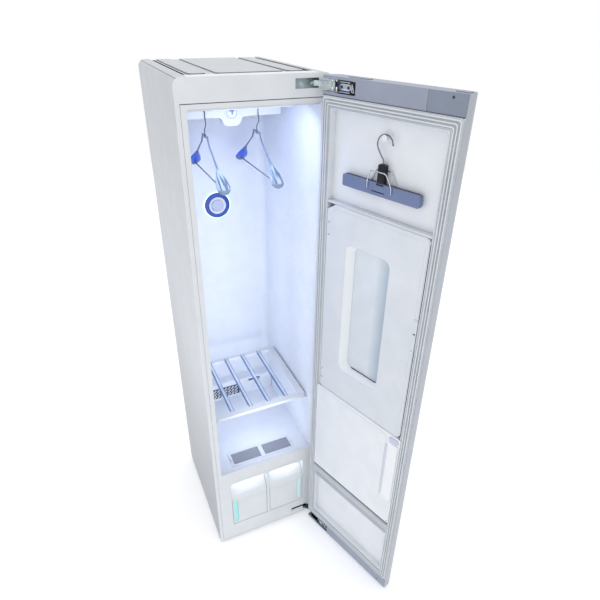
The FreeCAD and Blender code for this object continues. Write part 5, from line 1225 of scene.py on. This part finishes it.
@dataclass
class TrouserClip(Assembly):
    """Black nylon shell over the clip that locks the trouser hanger's jaws."""

    low: float = 1602.3
    high: float = 1652.4

    def draw(self) -> Iterator[Trim]:
        """Draw the shell with its thumb pad."""
        middle = (self.low + self.high) / 2
        body = plate((PEG_U, middle), 11.4, (self.high - self.low) / 2,
                     corner=4.0, low=-13.9, high=0.1, edge=1.6)
        pad = plate((PEG_U, middle - 6), 7.0, 12.0, corner=3.5, low=0.0, high=1.1, edge=0.9)
        shell = Shell().grid(DOOR.at(body)).grid(DOOR.at(pad))
        yield Trim("trouser_clip_shell", Body.TROUSER_HANGER, shell, "black_nylon", "dark_plastic")


# ---- small parts -------------------------------------------------------------------------------
@dataclass
class Screws(Assembly):
    """Pan-head screws with a cross recess, one piece for each set."""

    radius: float = 4.0
    proud: float = 1.4

    def head(self, place: Place, a: float, b: float, height: float) -> Array:
        """Domed head at (a, b): its height at radius r is proud * sqrt(1 - 0.92 (r / R)^2), less the cross.

        The cross takes 0.9 * sqrt(max(0, 1 - r / (0.6 R))) * cos(2t)^8 off the dome.

        Args:
            place: Plane that the screw stands on.
            a: Place of its middle along the plane's first axis.
            b: Place of its middle along the second.
            height: Height of the plane that its rim meets.

        Returns:
            Points (rows, columns, 3) of one head.
        """
        around = turns(32)[None, :]
        share = np.array([1.0, 1.0, 0.95, 0.8, 0.6, 0.45, 0.3, 0.15, 0.0])[:, None]
        dome = self.proud * np.sqrt(1 - share ** 2 * 0.92)
        cross = 0.9 * np.clip(1 - share / 0.6, 0, 1) ** 0.5 * np.cos(2 * around) ** 8
        level = height + dome - cross
        level[0] = height - 1.0
        radius = self.radius * np.broadcast_to(share, level.shape)
        return place.at(np.stack([a + radius * np.cos(around), b + radius * np.sin(around), level], -1))

    def draw(self) -> Iterator[Trim]:
        """Draw the screws of the hinges, the door and the back."""
        plate_left = HALF_WIDTH - 112.5
        plates = [(plate_left + across, z) for z in HINGE_HEIGHTS for across in (14.0, 48.0)]
        leaves = [(103.0, z) for z in HINGE_HEIGHTS]
        rear = [(side * 208.0, z) for side in (-1, 1) for z in np.linspace(90.0, 1770.0, 7)]
        rear += [(x, 1806.0) for x in (-140.0, 0.0, 140.0)]
        for name, body, place, spots, height, finish in (
                ("hinge_plate_screws", Body.CABINET, FRONT_VIEW, plates, -1.3, "chrome_steel"),
                ("hinge_leaf_screws", Body.DOOR, DOOR, leaves, -5.4, "chrome_steel"),
                ("door_cap_screw", Body.DOOR, DOOR, [(403.0, 24.0)], -3.2, "chrome_steel"),
                ("press_panel_screw", Body.DOOR, DOOR, [(407.0, 394.0)], 0.4, "black_steel"),
                ("back_panel_screws", Body.CABINET, BACK_VIEW, rear, -1.4, "chrome_steel")):
            shell = Shell()
            for a, b in spots:
                shell.grid(self.head(place, a, b, height))
            yield Trim(name, body, shell, finish, "chrome_steel")


@dataclass
class JointStrips(Assembly):
    """Dark rubber strips in the joints of the front and the door's caps, the header's one widened into a
    painted shadow, and dark lines painted as shade on the top sheet.
    """

    inset: float = 12.0
    gap: float = 0.8
    header_bottom: float = HEIGHT - 62.5
    plateau_shade_radius: float = 1.1
    roll_shade_radius: float = 0.6

    @staticmethod
    def strip(start: tuple[float, float], end: tuple[float, float], width: float,
              low: float, high: float) -> Array:
        """Flat strip with rounded edges along one axis of a plane.

        Args:
            start: First end of its middle line.
            end: Second end of its middle line.
            width: Its width.
            low: Height of its underside.
            high: Height of its face.

        Returns:
            Points of the strip as a, b, h.
        """
        centre = ((start[0] + end[0]) / 2, (start[1] + end[1]) / 2)
        half_a = max(abs(end[0] - start[0]) / 2, width / 2)
        half_b = max(abs(end[1] - start[1]) / 2, width / 2)
        return plate(centre, half_a, half_b, width * 0.3, low, high, edge=min(width * 0.2, 0.2))

    def draw(self) -> Iterator[Trim]:
        """Draw the strips of the front, the painted shade lines of the top and the seals of the caps."""
        half = HALF_WIDTH - self.inset - self.gap / 2
        top = self.header_bottom - self.gap / 2
        level = top - 0.7
        front = Shell()
        # The header's strip is wider than the joint and lies on the frame's face: a painted shadow.
        front.grid(FRONT_VIEW.at(self.strip((-half, level), (half, level), self.gap + 1.4, -3.5, -0.3)))
        for side in (-1, 1):
            front.grid(FRONT_VIEW.at(self.strip((side * half, 20), (side * half, top), self.gap, -3.5, -0.9)))
        caps = Shell()
        for z in (1799.0, 62.0):
            caps.grid(DOOR.at(self.strip((3, z), (442, z), 2.6, -0.2, 0.5)))
        yield Trim("front_joint_strips", Body.CABINET, front, "joint_rubber", "seal_rubber")
        yield Trim("top_cover_shade_lines", Body.CABINET, self.shade_lines(), "joint_rubber", "seal_rubber")
        yield Trim("door_cap_seals", Body.DOOR, caps, "joint_rubber", "seal_rubber")

    def shade_lines(self) -> Shell:
        """Dark line painted as shade at the foot of each plateau of the top sheet, and along each rolled
        edge.

        A point of a rolled edge at angle t lies at (half width - r (1 - cos t), height - r (1 - sin t)).

        Returns:
            The beads' shell.
        """
        inner = GUTTER_OUTER - GUTTER_WIDTH
        near = FRONT + 74.0
        far = BACK - 12.0
        level = HEIGHT - 2.8
        shell = Shell()
        for left, right in ((-inner + 9, -inner + 55), (-88.0, 105.0), (inner - 53, inner - 4)):
            corners = np.array([[left, far, level], [left, near, level],
                                [right, near, level], [right, far, level]])
            shell.grid(tube(bent(corners, reach=12.0), self.plateau_shade_radius, (0, 0, 1), sides=8))
        roll = 22.0
        lean = math.radians(57.0)
        across = HALF_WIDTH - roll * (1 - math.cos(lean))
        height = HEIGHT - roll * (1 - math.sin(lean))
        for side in (-1, 1):
            run = np.array([[side * across, y, height] for y in (FRONT + 6.0, 0.0, BACK - 4.0)])
            shell.grid(tube(run, self.roll_shade_radius, (0, 0, 1), sides=8))
        return shell


# ---- stage -------------------------------------------------------------------------------------
@dataclass
class Studio:
    """Pale floor, soft light and the camera."""

    eye: tuple[float, float, float] = (-487.4, -1596.4, 1997.7)
    azimuth: float = 25.0
    down: float = 30.35
    roll: float = 0.95
    lens: float = 29.75
    sensor: float = 36.0
    floor_radius: float = 6000.0

    def dress(self) -> None:
        """Build the floor, the lights and the camera."""
        self.floor()
        self.world()
        self.lamps()
        self.camera()

    def floor(self) -> None:
        """Wide pale floor disc."""
        steps = 64
        around = turns(steps)
        ring = [self.floor_radius * np.cos(around), self.floor_radius * np.sin(around), np.full(steps, -0.5)]
        mesh = bpy.data.meshes.new("studio_floor")
        mesh.from_pydata((np.column_stack(ring) * MM).tolist(), [], [list(range(steps))])
        graph = Graph("studio_paper")
        shader = graph.add("ShaderNodeBsdfPrincipled", {
            "Base Color": "#F4F5F7", "Roughness": 0.9,
            "Emission Color": "#FFFFFF", "Emission Strength": 0.25})
        graph.add("ShaderNodeOutputMaterial", {"Surface": shader.outputs["BSDF"]})
        mesh.materials.append(graph.material)
        floor = bpy.data.objects.new("studio_floor", mesh)
        bpy.context.scene.collection.objects.link(floor)

    def world(self) -> None:
        """Even white surroundings."""
        world = bpy.data.worlds.new("studio")
        world.use_nodes = True
        shade = world.node_tree.nodes["Background"]
        shade.inputs["Color"].default_value = linear("#FFFFFF")
        shade.inputs["Strength"].default_value = 1.0
        bpy.context.scene.world = world
        bpy.context.scene.view_settings.view_transform = "Standard"

    def lamps(self) -> None:
        """Soft key and overhead light, a glow on the left side, and cool light inside the cabinet."""
        back = (0.0, CHAMBER_BACK, 1000.0)
        cool = "#E8F0FF"
        self.lamp("key", (-1200, -2600, 2200), (0, 0, 900), (1800, 1800), 1.0, "#FFFFFF")
        self.lamp("overhead", (0, 0, HEIGHT + 1500), (0, 0, HEIGHT), (900, 900), 5.5, "#FFFFFF")
        self.lamp("side_glow", (-HALF_WIDTH - 450, FRONT + 60, 900), (-HALF_WIDTH, FRONT + 60, 900),
                  (200, 300), 0.7, "#FFFFFF")
        self.lamp("chamber_top", (0, FRONT + 60, CHAMBER_TOP - 20), (0, 120, 500), (260, 40), 0.85, "#C2D1FF")
        self.lamp("chamber_fill", (0, FRONT - 30, 1010), back, (170, 1040), 0.75, cool)
        self.lamp("chamber_back", (-20, FRONT + 230, 1000), back, (200, 960), 0.42, cool)
        self.lamp("chamber_floor", (0, FRONT + 60, 570), (0, 140, 420), (200, 120), 0.29, cool)
        for side in (-1, 1):
            self.lamp("tank_glow", (side * 83, FRONT + 14, 334), (side * 83, FRONT + 24, 250),
                      (120, 8), 0.05, "#EAF6FF")

    def lamp(self, name: str, place: tuple[float, float, float], target: tuple[float, float, float],
             size: tuple[float, float], watts: float, colour: str) -> None:
        """Area light that faces a target and that the camera doesn't see.

        Args:
            name: Name of the light.
            place: Its middle, in millimetres.
            target: Point that it faces.
            size: Its two sides, in millimetres.
            watts: Its power.
            colour: Its sRGB colour.
        """
        light = bpy.data.lights.new(name, "AREA")
        light.shape = "RECTANGLE"
        light.size = size[0] * MM
        light.size_y = size[1] * MM
        light.energy = watts
        light.color = linear(colour)[:3]
        lamp = bpy.data.objects.new(name, light)
        lamp.visible_camera = False
        lamp.visible_glossy = not name.startswith("chamber")
        bpy.context.scene.collection.objects.link(lamp)
        heading = Vector(target) - Vector(place)
        turn = heading.to_track_quat("-Z", "Y").to_matrix().to_4x4()
        lamp.matrix_world = Matrix.Translation(Vector(place) * MM) @ turn

    def camera(self) -> None:
        """Camera at the viewing angle: turned to the right, looking down, with a slight roll."""
        turn, fall, tilt = (math.radians(value) for value in (self.azimuth, self.down, self.roll))
        ahead = Vector((math.sin(turn) * math.cos(fall), math.cos(turn) * math.cos(fall), -math.sin(fall)))
        right = Vector((math.cos(turn), -math.sin(turn), 0.0))
        above = right.cross(ahead)
        tilted_right = right * math.cos(tilt) + above * math.sin(tilt)
        tilted_above = above * math.cos(tilt) - right * math.sin(tilt)
        lens = bpy.data.cameras.new("camera")
        lens.lens = self.lens
        lens.sensor_width = self.sensor
        lens.sensor_fit = "HORIZONTAL"
        lens.clip_end = 100.0
        camera = bpy.data.objects.new("camera", lens)
        bpy.context.scene.collection.objects.link(camera)
        axes = Matrix((tilted_right, tilted_above, -ahead)).transposed().to_4x4()
        camera.matrix_world = Matrix.Translation(Vector(self.eye) * MM) @ axes
        bpy.context.scene.camera = camera


def main() -> None:
    logging.basicConfig(level=logging.INFO, format="%(message)s")
    finishes = Finishes()
    finishes.dress_nodes()
    for assembly in (GrilleBlades(), SealLips(), PressTrim(), HingeFittings(), JawShades(), ChamberLight(),
                     LintFilter(), AromaHolder(), RackHub(), Tanks(), TrouserBows(), TrouserClip(),
                     TopGutters(), EndCover(), Screws(), JointStrips()):
        assembly.dress(finishes)
    Studio().dress()


if __name__ == "__main__":
    main()
